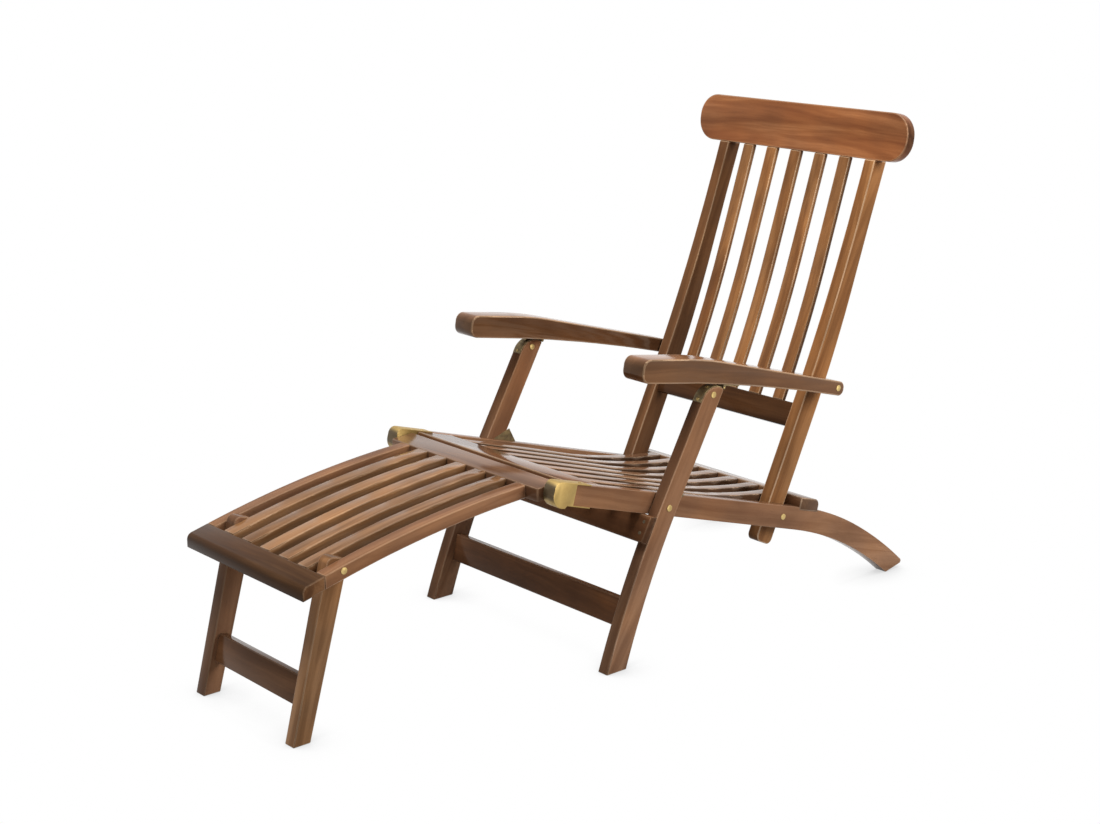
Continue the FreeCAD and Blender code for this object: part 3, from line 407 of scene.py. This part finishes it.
def along(degrees):
    """Turn of the grain for a board that rises towards the rear by some degrees."""
    return (0.0, math.radians(degrees), 0.0)


ACROSS = (0.0, 0.0, math.radians(90))
print("cross boards turn their grain by", [round(math.degrees(angle)) for angle in ACROSS])

# %% [markdown]
# ## Brass
# The caps on the seat's noses are plain yellow brass with a satin finish, and the nose itself is
# painted darker, a painted dark reflection. The straps at the top of the legs have gone brown and
# dull, and the pins are the brightest. Brass could be a pure metal with one colour, but then it
# only shows the white room. Mixing in a little plain colour, clouds of tarnish and fine brush
# marks gives it a surface.

# %% The dark nose of a cap
# The nose of a cap is painted this dark, a painted dark reflection.
NOSE_REFLECTION_DARK = (0.115, 0.082, 0.042, 1.0)
# Parts of a face's direction along X, which is negative in front, and along Z, negative below.
FORWARD = (-0.45, -0.85)
NOT_UNDER = (-0.45, -0.10)


def darker_nose(tree, normal, colour):
    """A colour painted darker where the brass faces forwards and not down, a painted dark
    reflection.
    """
    facing = add(tree, "ShaderNodeSeparateXYZ")
    link(tree, normal, facing.inputs[0])
    forward = spread(tree, facing.outputs["X"], *FORWARD)
    not_under = spread(tree, facing.outputs["Z"], *NOT_UNDER)
    nose = combine(tree, "MULTIPLY", forward, not_under)
    return blend_colours(tree, nose, colour, NOSE_REFLECTION_DARK)


print("noses darken to", NOSE_REFLECTION_DARK[:3])

# %% Brass finishes
CLOUDS = ((60.0, 60.0, 60.0), 4.0, 0.6)
BRUSH_MARKS = ((200.0, 3000.0, 3000.0), 2.0, 0.5)
TARNISHED = (0.38, 0.66)
METAL_SHARE = 0.7
CLOUDY_ROUGHNESS = 0.15
BRUSH_STRENGTH, BRUSH_DEPTH = 0.25, 0.0001


def brass(name, bright, dull, rough, dark_reflection=False):
    """Satin brass with faint cloudy tarnish, and a painted dark reflection on the nose where asked.
    """
    material, tree, shader = new_material(name)
    shader.inputs["Metallic"].default_value = METAL_SHARE
    spot = add(tree, "ShaderNodeTexCoord")
    clouds = noise(tree, spot.outputs["Object"], *CLOUDS)
    colour = blend_colours(tree, spread(tree, clouds, *TARNISHED), bright, dull)
    if dark_reflection:
        colour = darker_nose(tree, spot.outputs["Normal"], colour)
    link(tree, colour, shader.inputs["Base Color"])
    roughness = spread(tree, clouds, *NOISE_SPAN, rough, rough + CLOUDY_ROUGHNESS)
    link(tree, roughness, shader.inputs["Roughness"])
    brushed = noise(tree, spot.outputs["Object"], *BRUSH_MARKS)
    relief(tree, shader, brushed, BRUSH_STRENGTH, BRUSH_DEPTH)
    return material


CAP_BRASS = brass(
    "satin_brass", (0.42, 0.285, 0.092, 1), (0.37, 0.245, 0.078, 1), 0.42, dark_reflection=True)
STRAP_BRASS = brass("weathered_brass", (0.30, 0.22, 0.10, 1), (0.13, 0.095, 0.05, 1), 0.45)
PIN_BRASS = brass("pin_brass", (0.54, 0.39, 0.15, 1), (0.40, 0.28, 0.10, 1), 0.42)
SCREW_METAL = brass("dark_screw", (0.16, 0.12, 0.07, 1), (0.08, 0.06, 0.035, 1), 0.40)
print("brass:", CAP_BRASS.name, STRAP_BRASS.name, PIN_BRASS.name, SCREW_METAL.name)

# %% [markdown]
# ## Softened arrises
# A joiner breaks every sharp edge, and that rounded edge catches the light. The edges could be
# rounded in the CAD model, but its collision and its size are easier to trust with plain ones. So
# a bevel on a copy of each piece does it here, and the faces that the bevel adds get a paler
# material of their own, a painted highlight along each arris. The rims of the pin holes stay
# crisp, because the brass heads sit on them.

# %% Find the pin axes
PIN_NODES = (
    "leg_pivot_pins", "back_pivot_pins", "arm_back_pin_left", "leg_top_rivets",
    "footrest_hinge_pins", "footrest_leg_pins",
)


def middle(node):
    """The centre of a CAD node's box."""
    low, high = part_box(node)
    return (Vector(low) + Vector(high)) / 2


PIN_AXES = [(middle(name).x, middle(name).z) for name in PIN_NODES]
print("pin axes at", [(round(x, 3), round(z, 3)) for x, z in PIN_AXES])

# %% Ready a CAD mesh for its bevel
# An edge with both ends this near to a pin's axis is the rim of its hole.
HOLE_REACH = 0.0056
MERGE_DISTANCE = 1e-5
FLAT_ANGLE = math.radians(0.6)
SHARP_ANGLE = math.radians(32)


def round_a_hole(edge):
    """True if an edge lies on the rim of a pin hole."""
    for x, z in PIN_AXES:
        if all(math.hypot(vert.co.x - x, vert.co.z - z) < HOLE_REACH for vert in edge.verts):
            return True
    return False


def is_sharp(edge):
    """True if two faces meet at an edge with a clear corner between them."""
    return len(edge.link_faces) == 2 and edge.calc_face_angle() > SHARP_ANGLE


def clean_copy(node):
    """A merged copy of a CAD mesh with its flat triangles joined and its sharp edges marked."""
    mesh = nodes[node].data.copy()
    shape = bmesh.new()
    shape.from_mesh(mesh)
    bmesh.ops.remove_doubles(shape, verts=shape.verts, dist=MERGE_DISTANCE)
    bmesh.ops.dissolve_limit(
        shape, angle_limit=FLAT_ANGLE, verts=shape.verts, edges=shape.edges)
    weight = shape.edges.layers.float.new("bevel_weight_edge")
    for edge in shape.edges:
        edge[weight] = 1.0 if is_sharp(edge) and not round_a_hole(edge) else 0.0
    shape.to_mesh(mesh)
    shape.free()
    mesh.materials.clear()
    return mesh


print("corners over", round(math.degrees(SHARP_ANGLE)), "degrees are softened")


# %% Helpers that finish a piece
def bake_modifiers(piece):
    """Replace a piece's mesh by what its modifiers make of it, and remove them."""
    graph = bpy.context.evaluated_depsgraph_get()
    mesh = bpy.data.meshes.new_from_object(piece.evaluated_get(graph))
    piece.modifiers.clear()
    piece.data = mesh
    return piece


def smooth(piece, crease):
    """Shade a piece smooth, apart from creases sharper than some degrees."""
    piece.data.shade_smooth()
    piece.data.set_sharp_from_angle(angle=math.radians(crease))


print("helpers for finished pieces ready")

# %% Turn a CAD piece into worked timber or metal
ARRIS_SLOT = 1
ARRIS_ROUNDNESS = 0.6
CREASE = 40


def worked(node, name, width, faces, arrises, segments=2):
    """A piece with softened edges, made from a CAD node."""
    mesh = clean_copy(node)
    mesh.materials.append(faces)
    mesh.materials.append(arrises)
    piece = bpy.data.objects.new(name, mesh)
    bpy.context.scene.collection.objects.link(piece)
    bevel = piece.modifiers.new("softened", "BEVEL")
    bevel.limit_method = "WEIGHT"
    bevel.width = width
    bevel.segments = segments
    bevel.profile = ARRIS_ROUNDNESS
    bevel.material = ARRIS_SLOT
    bevel.harden_normals = True
    bake_modifiers(piece)
    smooth(piece, CREASE)
    return piece


def dress(node, ending, body, slot, width, faces, arrises, segments=2):
    """Stand a worked piece in for a CAD node on its moving body."""
    piece = worked(node, node + ending, width, faces, arrises, segments)
    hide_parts(node)
    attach(piece, body)
    return piece


print("pieces crease over", CREASE, "degrees")

# %% [markdown]
# ## Boards along the chair
# Two side rails carry the seat, two long legs cross them, two posts hold the back, and the
# footrest has rails and legs of its own. Each board's grain follows its own slope, which a
# single direction for the whole chair would get wrong. The two sides mirror each other in shape
# but not in light, so a short table gives each board its slope and each side its tone, and those
# tones paint the light and shade that fall on that side.

# %% Rails, legs and posts
# Slopes in degrees. A board with a positive slope rises towards the rear.
SEAT, LEG, BACK, ARM, FOOT, FOOT_LEG = -15.8, 60.8, 64.3, -9.66, 8.0, 74.7
# Face tones that paint light and shade: darker leg fronts, shaded sides and fronts on the back, a
# lit front on the near footrest leg, and dimmer faces on the far side.
DARK_FRONT = (0.6, 1.0, 0.80)
CALM = (0.6, 0.78, 0.90)
LIT_FRONT = (0.6, 1.0, 2.0)
DIM = (0.6, 0.88, 0.80)
SHADED = (0.6, 0.72, 0.95)
BOARD_ARRIS = 0.0024
FINE_STEPS = 3
# The far back post's darker tone is painted shade, and the near footrest leg's paler front is
# painted light.
# Name, body, slope in degrees, and the tones of the left and of the right board.
BOARDS = (
    ("seat_rail", "seat_frame", SEAT, ("fawn", EVEN), ("fawn", EVEN)),
    ("leg", "leg_frame", LEG, ("fawn", DARK_FRONT), ("fawn", DARK_FRONT)),
    ("back_post", "back_frame", BACK, ("honey", CALM), ("umber", SHADED)),
    ("footrest_rail", "footrest_panel", FOOT, ("fawn", EVEN), ("fawn", EVEN)),
    ("footrest_leg", "footrest_leg_frame", FOOT_LEG, ("oat", LIT_FRONT), ("fawn", DIM)),
)
for stem, body, slope, left, right in BOARDS:
    for side, (tone, face_tones) in (("left", left), ("right", right)):
        finish = faces_and_arrises(tone, along(slope), face_tones)
        dress(stem + "_" + side, "_board", body, "frame_wood", BOARD_ARRIS, *finish, FINE_STEPS)
print(len(BOARDS) * 2, "boards along the chair")

# %% [markdown]
# The two arms are the boards that hands polish, so their arrises are the roundest of all. Their
# tops are painted paler, a painted sheen, and shine more, and their sides are painted darker, a
# painted shade. They could share the table above, but each rides on a body of its own, so a loop
# of two lines is plainer.

# %% Arms
# Arm tops are painted paler, a painted sheen, and their sides darker, a painted shade.
PALE_TOP = (0.6, 0.72, 1.35)
POLISHED = 1.40
ARM_ARRIS = 0.0032
finish = faces_and_arrises("umber", along(ARM), PALE_TOP, POLISHED)
for side in ("left", "right"):
    dress("arm_" + side, "_board", side + "_arm", "frame_wood", ARM_ARRIS, *finish, FINE_STEPS)
print("two arms")

# %% [markdown]
# ## Boards across the chair
# Rails and stretchers tie the two sides together. They sit in every kind of light, so a table
# gives each one its own tones. The head rail is a redder plank with dark end grain, and it is
# the one that the eye meets first.

# %% Rails and stretchers
DARK_ENDS = (0.26, 1.0, 1.0)
RAIL_ARRIS = 0.0026
# The darkest tone on the stop board, stretchers and lower back rail is painted shade, and the face
# tones paint light and shade on each rail.
# Name, body, tone, slot, tones of the faces and gloss.
CROSS_BOARDS = (
    ("seat_front_rail", "seat_frame", "umber", "frame_wood", EVEN, 1.20),
    ("seat_rear_rail", "seat_frame", "umber", "frame_wood", EVEN, 1.40),
    ("leg_stop_board", "leg_frame", "dusk", "frame_wood", (0.6, 1.15, 1.15), 1.15),
    ("leg_stretcher", "leg_frame", "dusk", "frame_wood", (0.6, 1.8, 1.8), 1.15),
    ("lower_back_rail", "back_frame", "dusk", "frame_wood", (0.6, 0.60, 0.42), 1.15),
    ("head_rail", "back_frame", "russet", "head_wood", DARK_ENDS, 1.20),
    ("footrest_rear_rail", "footrest_panel", "fawn", "frame_wood", (0.6, 0.82, 0.78), 1.30),
    ("footrest_front_rail", "footrest_panel", "walnut", "frame_wood", (0.9, 0.53, 0.49), 1.15),
    ("footrest_leg_stretcher", "footrest_leg_frame", "dusk", "frame_wood", (0.6, 1.2, 1.2), 1.2),
)
for node, body, tone, slot, face_tones, gloss in CROSS_BOARDS:
    finish = faces_and_arrises(tone, ACROSS, face_tones, gloss)
    dress(node, "_board", body, slot, RAIL_ARRIS, *finish, FINE_STEPS)
print(len(CROSS_BOARDS), "boards across the chair")

# %% [markdown]
# ## Slats
# The seat, the back and the footrest are each a row of slats with gaps that let the rain
# through. All slats of a row are alike and evenly spaced, and an array modifier could repeat
# them. Geometry Nodes are used because one tree serves all three rows. One worked slat goes in,
# and the tree sets copies of it along a line, makes them real and gives the faces and arrises
# their materials.

# %% Helpers for geometry trees
def vector_of(tree, **parts):
    """Three values as one vector, where a part that isn't named stays 0."""
    vector = add(tree, "ShaderNodeCombineXYZ")
    for axis, value in parts.items():
        link(tree, value, vector.inputs[axis])
    return vector.outputs["Vector"]


def real_copies(tree, instances):
    """The copies as one plain mesh, because an export drops instances."""
    real = add(tree, "GeometryNodeRealizeInstances")
    link(tree, instances, real.inputs["Geometry"])
    return real.outputs["Geometry"]


def painted(tree, geometry, material, chosen=None):
    """Geometry with a material on its chosen faces, or on all of them."""
    paint = add(tree, "GeometryNodeSetMaterial")
    link(tree, geometry, paint.inputs["Geometry"])
    link(tree, material, paint.inputs["Material"])
    if chosen is not None:
        link(tree, chosen, paint.inputs["Selection"])
    return paint.outputs["Geometry"]


def run_tree(piece, tree, values):
    """Run a geometry tree on a piece with values for its named inputs, and keep the result."""
    modifier = piece.modifiers.new(tree.name, "NODES")
    modifier.node_group = tree
    for item in tree.interface.items_tree:
        if item.item_type == "SOCKET" and item.in_out == "INPUT" and item.name in values:
            modifier[item.identifier] = values[item.name]
    return bake_modifiers(piece)


print("helpers for geometry trees ready")


# %% The tree that lays a row of slats
def row_of_copies(tree, given):
    """Copies of the slat across the chair at an even pitch."""
    row = add(tree, "GeometryNodeMeshLine", mode="OFFSET")
    link(tree, given.outputs["Count"], row.inputs["Count"])
    link(tree, vector_of(tree, Y=given.outputs["Pitch"]), row.inputs["Offset"])
    copies = add(tree, "GeometryNodeInstanceOnPoints")
    link(tree, row.outputs["Mesh"], copies.inputs["Points"])
    link(tree, given.outputs["Slat"], copies.inputs["Instance"])
    return copies.outputs["Instances"]


def on_arris(tree):
    """True on the faces that the bevel added, which carry the second material."""
    number = add(tree, "GeometryNodeInputMaterialIndex")
    same = add(tree, "FunctionNodeCompare", data_type="INT", operation="EQUAL")
    whole = {socket.name: socket for socket in same.inputs if socket.type == "INT"}
    link(tree, number.outputs[0], whole["A"])
    whole["B"].default_value = ARRIS_SLOT
    return same.outputs["Result"]


def build_slat_tree():
    """A row of real slats with their two timbers."""
    takes = {
        "Slat": "Geometry", "Count": "Int", "Pitch": "Float", "Face timber": "Material",
        "Arris timber": "Material",
    }
    tree, given, result = new_group("slat_row", "GeometryNodeTree", takes, {"Slats": "Geometry"})
    slats = real_copies(tree, row_of_copies(tree, given))
    arris = on_arris(tree)
    face = add(tree, "FunctionNodeBooleanMath", operation="NOT")
    link(tree, arris, face.inputs[0])
    slats = painted(tree, slats, given.outputs["Face timber"], face.outputs[0])
    slats = painted(tree, slats, given.outputs["Arris timber"], arris)
    link(tree, slats, result.inputs["Slats"])
    return tree


SLAT_TREE = build_slat_tree()
print("slat tree has", len(SLAT_TREE.nodes), "nodes")

# %% Lay the three slatted panels
# Dark sides on the seat slats are painted shade in the gaps, and the back and footrest slats have
# painted shade on their sides too.
DARK_SIDES = (0.6, 0.30, 0.95)
SHADED_SIDES = (0.6, 0.75, 1.0)
# Name, count, body, slope, tone, width of the softened edge, tones of the faces and gloss.
PANELS = (
    ("seat_slat", 7, "seat_frame", SEAT, "fawn", 0.0022, DARK_SIDES, 1.5),
    ("back_slat", 5, "back_frame", BACK, "honey", 0.0022, CALM, 1.24),
    ("footrest_slat", 5, "footrest_panel", FOOT, "oat", 0.0026, SHADED_SIDES, 1.26),
)
for stem, count, body, slope, tone, width, face_tones, gloss in PANELS:
    names = [stem + "_" + str(number + 1) for number in range(count)]
    pitch = (middle(names[-1]).y - middle(names[0]).y) / (count - 1)
    faces, arrises = faces_and_arrises(tone, along(slope), face_tones, gloss)
    row = worked(names[0], stem + "_row", width, faces, arrises)
    run_tree(row, SLAT_TREE, {
        "Count": count, "Pitch": pitch, "Face timber": faces, "Arris timber": arrises,
    })
    smooth(row, CREASE)
    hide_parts(*names)
    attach(row, body)
    print(stem, count, "slats at", round(pitch * 1000, 1), "mm")

# %% [markdown]
# ## Brass fittings
# Caps wrap the rail noses, straps wrap the leg tops, a leaf is screwed under each arm, and pins
# go through every joint. All are thin sheet or turned rod. A thicker rounding would make them
# look cast, so the CAD shapes stay and get only a very fine bevel and the brass finishes.

# %% Brass that is alike on the left and the right
SHEET_EDGE, LEAF_EDGE, PIN_EDGE = 0.0004, 0.0003, 0.0005
SHEETS = (
    ("hinge_cap", "seat_frame", CAP_BRASS),
    ("leg_strap", "leg_frame", STRAP_BRASS),
)
for stem, body, metal in SHEETS:
    for side in ("left", "right"):
        dress(stem + "_" + side, "_sheet", body, "brass", SHEET_EDGE, metal, metal)
for side in ("left", "right"):
    arm = side + "_arm"
    dress("arm_leaf_" + side, "_sheet", arm, "brass", LEAF_EDGE, STRAP_BRASS, STRAP_BRASS)
    dress("arm_back_pin_" + side, "_head", arm, "brass", PIN_EDGE, PIN_BRASS, PIN_BRASS)
print("caps, straps, arm leaves and rear arm pins")

# %% Plates, washers and pins
ROD_AND_PLATE = (
    ("pivot_plates", "seat_frame", STRAP_BRASS),
    ("back_spacer_washers", "seat_frame", PIN_BRASS),
    ("leg_pivot_pins", "seat_frame", PIN_BRASS),
    ("back_pivot_pins", "seat_frame", PIN_BRASS),
    ("leg_top_rivets", "leg_frame", PIN_BRASS),
    ("arm_hinge_pins", "leg_frame", PIN_BRASS),
    ("footrest_hinge_pins", "footrest_panel", PIN_BRASS),
    ("footrest_leg_pins", "footrest_panel", PIN_BRASS),
)
for node, body, metal in ROD_AND_PLATE:
    dress(node, "_metal", body, "brass", SHEET_EDGE, metal, metal)
print(len(ROD_AND_PLATE), "sets of plates, washers and pins")

# %% [markdown]
# ## Screws
# Countersunk screws hold the caps, straps and boards. Each head is a shallow dome with a cross
# recess. The recess could be a dark mark painted on, but a real hollow still catches the light
# up close. One head is cut once, and a tree copies it to every place, turned to face outwards.

# %% The dome of a screw head
DOME_SEGMENTS, DOME_RINGS = 20, 12


def moved(tree, geometry, way, amount):
    """Geometry that is shifted or scaled by a vector."""
    change = add(tree, "GeometryNodeTransform")
    link(tree, geometry, change.inputs["Geometry"])
    link(tree, amount, change.inputs[way])
    return change.outputs["Geometry"]


def screw_dome(tree, radius, height):
    """A shallow dome, made from a flattened ball."""
    ball = add(tree, "GeometryNodeMeshUVSphere")
    ball.inputs["Segments"].default_value = DOME_SEGMENTS
    ball.inputs["Rings"].default_value = DOME_RINGS
    ball.inputs["Radius"].default_value = 1.0
    flat = vector_of(tree, X=radius, Y=radius, Z=height)
    return moved(tree, ball.outputs["Mesh"], "Scale", flat)


print("a dome has", DOME_SEGMENTS, "segments")


# %% The recess in a screw head
def cross_bars(tree, width, length, height):
    """Two crossed bars at the top of the dome, in the shape of the recess."""
    cross = add(tree, "GeometryNodeJoinGeometry")
    lift = vector_of(tree, Z=height)
    for size in (
        vector_of(tree, X=width, Y=length, Z=height),
        vector_of(tree, Y=width, X=length, Z=height),
    ):
        bar = add(tree, "GeometryNodeMeshCube")
        link(tree, size, bar.inputs["Size"])
        raised = moved(tree, bar.outputs["Mesh"], "Translation", lift)
        link(tree, raised, cross.inputs["Geometry"])
    return cross.outputs["Geometry"]


def screw_head(tree, asked):
    """The dome with the crossed bars cut out of it."""
    cut = add(tree, "GeometryNodeMeshBoolean", operation="DIFFERENCE")
    height = asked["Head height"]
    link(tree, screw_dome(tree, asked["Head radius"], height), cut.inputs["Mesh 1"])
    bars = cross_bars(tree, asked["Recess width"], asked["Recess length"], height)
    link(tree, bars, cut.inputs["Mesh 2"])
    return cut.outputs["Mesh"]


print("helpers for the recess ready")


# %% The tree that sets screw heads
def facing_outwards(tree, places, head):
    """A copy of the head at every place, turned to the place's arrow."""
    arrow = add(tree, "GeometryNodeInputNamedAttribute", data_type="FLOAT_VECTOR")
    arrow.inputs["Name"].default_value = "outwards"
    aim = add(tree, "FunctionNodeAlignRotationToVector", axis="Z")
    link(tree, arrow.outputs["Attribute"], aim.inputs["Vector"])
    copies = add(tree, "GeometryNodeInstanceOnPoints")
    link(tree, places, copies.inputs["Points"])
    link(tree, head, copies.inputs["Instance"])
    link(tree, aim.outputs["Rotation"], copies.inputs["Rotation"])
    return copies.outputs["Instances"]


def build_screw_tree():
    """A domed head with a cross recess at every place."""
    takes = {
        "Places": "Geometry", "Head radius": "Float", "Head height": "Float",
        "Recess width": "Float", "Recess length": "Float", "Metal": "Material",
    }
    tree, given, result = new_group(
        "screw_heads", "GeometryNodeTree", takes, {"Screws": "Geometry"})
    head = screw_head(tree, given.outputs)
    heads = real_copies(tree, facing_outwards(tree, given.outputs["Places"], head))
    link(tree, painted(tree, heads, given.outputs["Metal"]), result.inputs["Screws"])
    return tree


SCREW_TREE = build_screw_tree()
print("screw tree has", len(SCREW_TREE.nodes), "nodes")

# %% [markdown]
# The CAD model marks each screw by a thin disc in its right place, so the places don't have to
# be typed in again. A disc's centre says where the head goes. Its rim says how the head lies,
# and the piece under it says which way is out.

# %% Read the places of the screws from the CAD discs
def split_discs(shape):
    """The vertices of a mesh in groups, one group for each disc."""
    left = dict.fromkeys(shape.verts)
    discs = []
    while left:
        disc = [left.popitem()[0]]
        for vert in disc:
            for edge in vert.link_edges:
                other = edge.other_vert(vert)
                if other in left:
                    del left[other]
                    disc.append(other)
        discs.append(disc)
    return discs


def screw_place(disc, hosts):
    """Centre of a disc and the way it faces, away from the piece it sits on."""
    centre = sum((vert.co for vert in disc), Vector()) / len(disc)
    rim = [vert.co - centre for vert in disc]
    across = max(rim, key=lambda arm: arm.length)
    facing = max((across.cross(arm) for arm in rim), key=lambda arm: arm.length).normalized()
    host = min((middle(name) for name in hosts), key=lambda place: (place - centre).length)
    return centre, facing if facing.dot(centre - host) > 0 else -facing


def screw_places(node, hosts):
    """The place of every screw in a CAD node."""
    shape = bmesh.new()
    shape.from_mesh(nodes[node].data)
    bmesh.ops.remove_doubles(shape, verts=shape.verts, dist=MERGE_DISTANCE)
    places = [screw_place(disc, hosts) for disc in split_discs(shape)]
    shape.free()
    return places


print("helpers for screws ready")

# %% Set the screw heads
HEAD = {
    "Head radius": 0.0036, "Head height": 0.0009, "Recess width": 0.0008, "Recess length": 0.0038,
}
HEAD_CREASE = 35
SCREWS = (
    ("hinge_cap_screws", ("hinge_cap_left", "hinge_cap_right"), "seat_frame", CAP_BRASS),
    ("stop_board_screws", ("leg_stop_board",), "leg_frame", SCREW_METAL),
    ("leg_strap_screws", ("leg_strap_left", "leg_strap_right"), "leg_frame", PIN_BRASS),
    ("arm_leaf_screws_left", ("arm_leaf_left",), "left_arm", PIN_BRASS),
    ("arm_leaf_screws_right", ("arm_leaf_right",), "right_arm", PIN_BRASS),
)
for node, hosts, body, metal in SCREWS:
    places = screw_places(node, hosts)
    mesh = bpy.data.meshes.new(node + "_heads")
    mesh.from_pydata([centre for centre, facing in places], [], [])
    arrows = mesh.attributes.new("outwards", "FLOAT_VECTOR", "POINT")
    for number, (centre, facing) in enumerate(places):
        arrows.data[number].vector = facing
    heads = bpy.data.objects.new(node + "_heads", mesh)
    bpy.context.scene.collection.objects.link(heads)
    run_tree(heads, SCREW_TREE, {**HEAD, "Metal": metal})
    smooth(heads, HEAD_CREASE)
    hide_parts(node)
    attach(heads, body)
    print(node, len(places), "heads")

# %% [markdown]
# ## Studio
# The chair stands on a pale floor in a white room. Enough light could turn a grey floor and room
# white, but it would wash out the wood. So each of them has two faces. To the eye and in
# reflections it is white, and the oiled tops pick that up. To the light on the chair it is only
# a dim grey, and two large soft lamps do the lighting, one at the side and one above.

# %% White room
WHITE = (1.0, 1.0, 1.0, 1.0)
ROOM_LIGHT = 0.25
SEEING_RAYS = ("Is Camera Ray", "Is Glossy Ray", "Is Transmission Ray")


def mixed_by_ray(tree, seen, unseen):
    """Join two shaders: the first for rays that see the studio and the second for all others."""
    path = add(tree, "ShaderNodeLightPath")
    total = path.outputs[SEEING_RAYS[0]]
    for name in SEEING_RAYS[1:]:
        total = combine(tree, "MAXIMUM", total, path.outputs[name])
    mix = add(tree, "ShaderNodeMixShader")
    link(tree, total, mix.inputs[0])
    link(tree, unseen, mix.inputs[1])
    link(tree, seen, mix.inputs[2])
    return mix.outputs[0]


def background(tree, strength):
    """A white background of some strength."""
    node = add(tree, "ShaderNodeBackground")
    node.inputs["Color"].default_value = WHITE
    node.inputs["Strength"].default_value = strength
    return node.outputs[0]


room = bpy.data.worlds.new("white_room")
room.use_nodes = True
tree = room.node_tree
walls = mixed_by_ray(tree, background(tree, 1.0), background(tree, ROOM_LIGHT))
link(tree, walls, tree.nodes["World Output"].inputs["Surface"])
bpy.context.scene.world = room
print("room is white to", ", ".join(SEEING_RAYS))

# %% [markdown]
# Under each foot the floor darkens a little, which tells the eye that the chair stands there and
# doesn't float. The lamps' own shadows are lost in a floor that is white to the eye. Ambient
# occlusion, which measures how covered a spot is, puts a faint one back.

# %% Pale floor
REACH = 14.0
FLOOR_GREY = (0.42, 0.42, 0.42, 1.0)
SHADOW_REACH, SHADOW_SAMPLES = 0.09, 8
COVERED, OPEN = 0.3, 0.9
SHADOW_TONE = 0.66


def pale_floor():
    """A floor that is white to the eye, with a faint shadow under what stands on it."""
    material, tree, shader = new_material("pale_floor")
    tree.nodes.remove(shader)
    matt = add(tree, "ShaderNodeBsdfDiffuse")
    matt.inputs["Color"].default_value = FLOOR_GREY
    cover = add(tree, "ShaderNodeAmbientOcclusion", samples=SHADOW_SAMPLES)
    cover.inputs["Distance"].default_value = SHADOW_REACH
    white = add(tree, "ShaderNodeEmission")
    shadow = spread(tree, cover.outputs["AO"], COVERED, OPEN, SHADOW_TONE, 1.0)
    link(tree, shadow, white.inputs["Strength"])
    surface = mixed_by_ray(tree, white.outputs[0], matt.outputs[0])
    link(tree, surface, tree.nodes["Material Output"].inputs["Surface"])
    return material


corners = [(-REACH, -REACH, 0), (REACH, -REACH, 0), (REACH, REACH, 0), (-REACH, REACH, 0)]
floor_mesh = bpy.data.meshes.new("studio_floor")
floor_mesh.from_pydata(corners, [], [(0, 1, 2, 3)])
floor_mesh.materials.append(pale_floor())
studio_floor = bpy.data.objects.new("studio_floor", floor_mesh)
bpy.context.scene.collection.objects.link(studio_floor)
print("floor reaches", REACH, "m each way")

# %% Soft lamps
CHAIR_MIDDLE = Vector((0, 0, 0.45))
# Name, place, width in metres and power in watts.
LAMPS = (
    ("side_lamp", (1.4, -3.6, 2.2), 2.2, 150),
    ("top_lamp", (-0.8, 0.0, 3.6), 2.4, 125),
)
for name, place, width, power in LAMPS:
    data = bpy.data.lights.new(name, "AREA")
    data.shape = "SQUARE"
    data.size = width
    data.energy = power
    light = bpy.data.objects.new(name, data)
    light.location = place
    aim = CHAIR_MIDDLE - Vector(place)
    light.rotation_euler = aim.to_track_quat("-Z", "Y").to_euler()
    bpy.context.scene.collection.objects.link(light)
    print(name, width, "m wide,", power, "W")

# %% The end of the scene
print("scene ready")
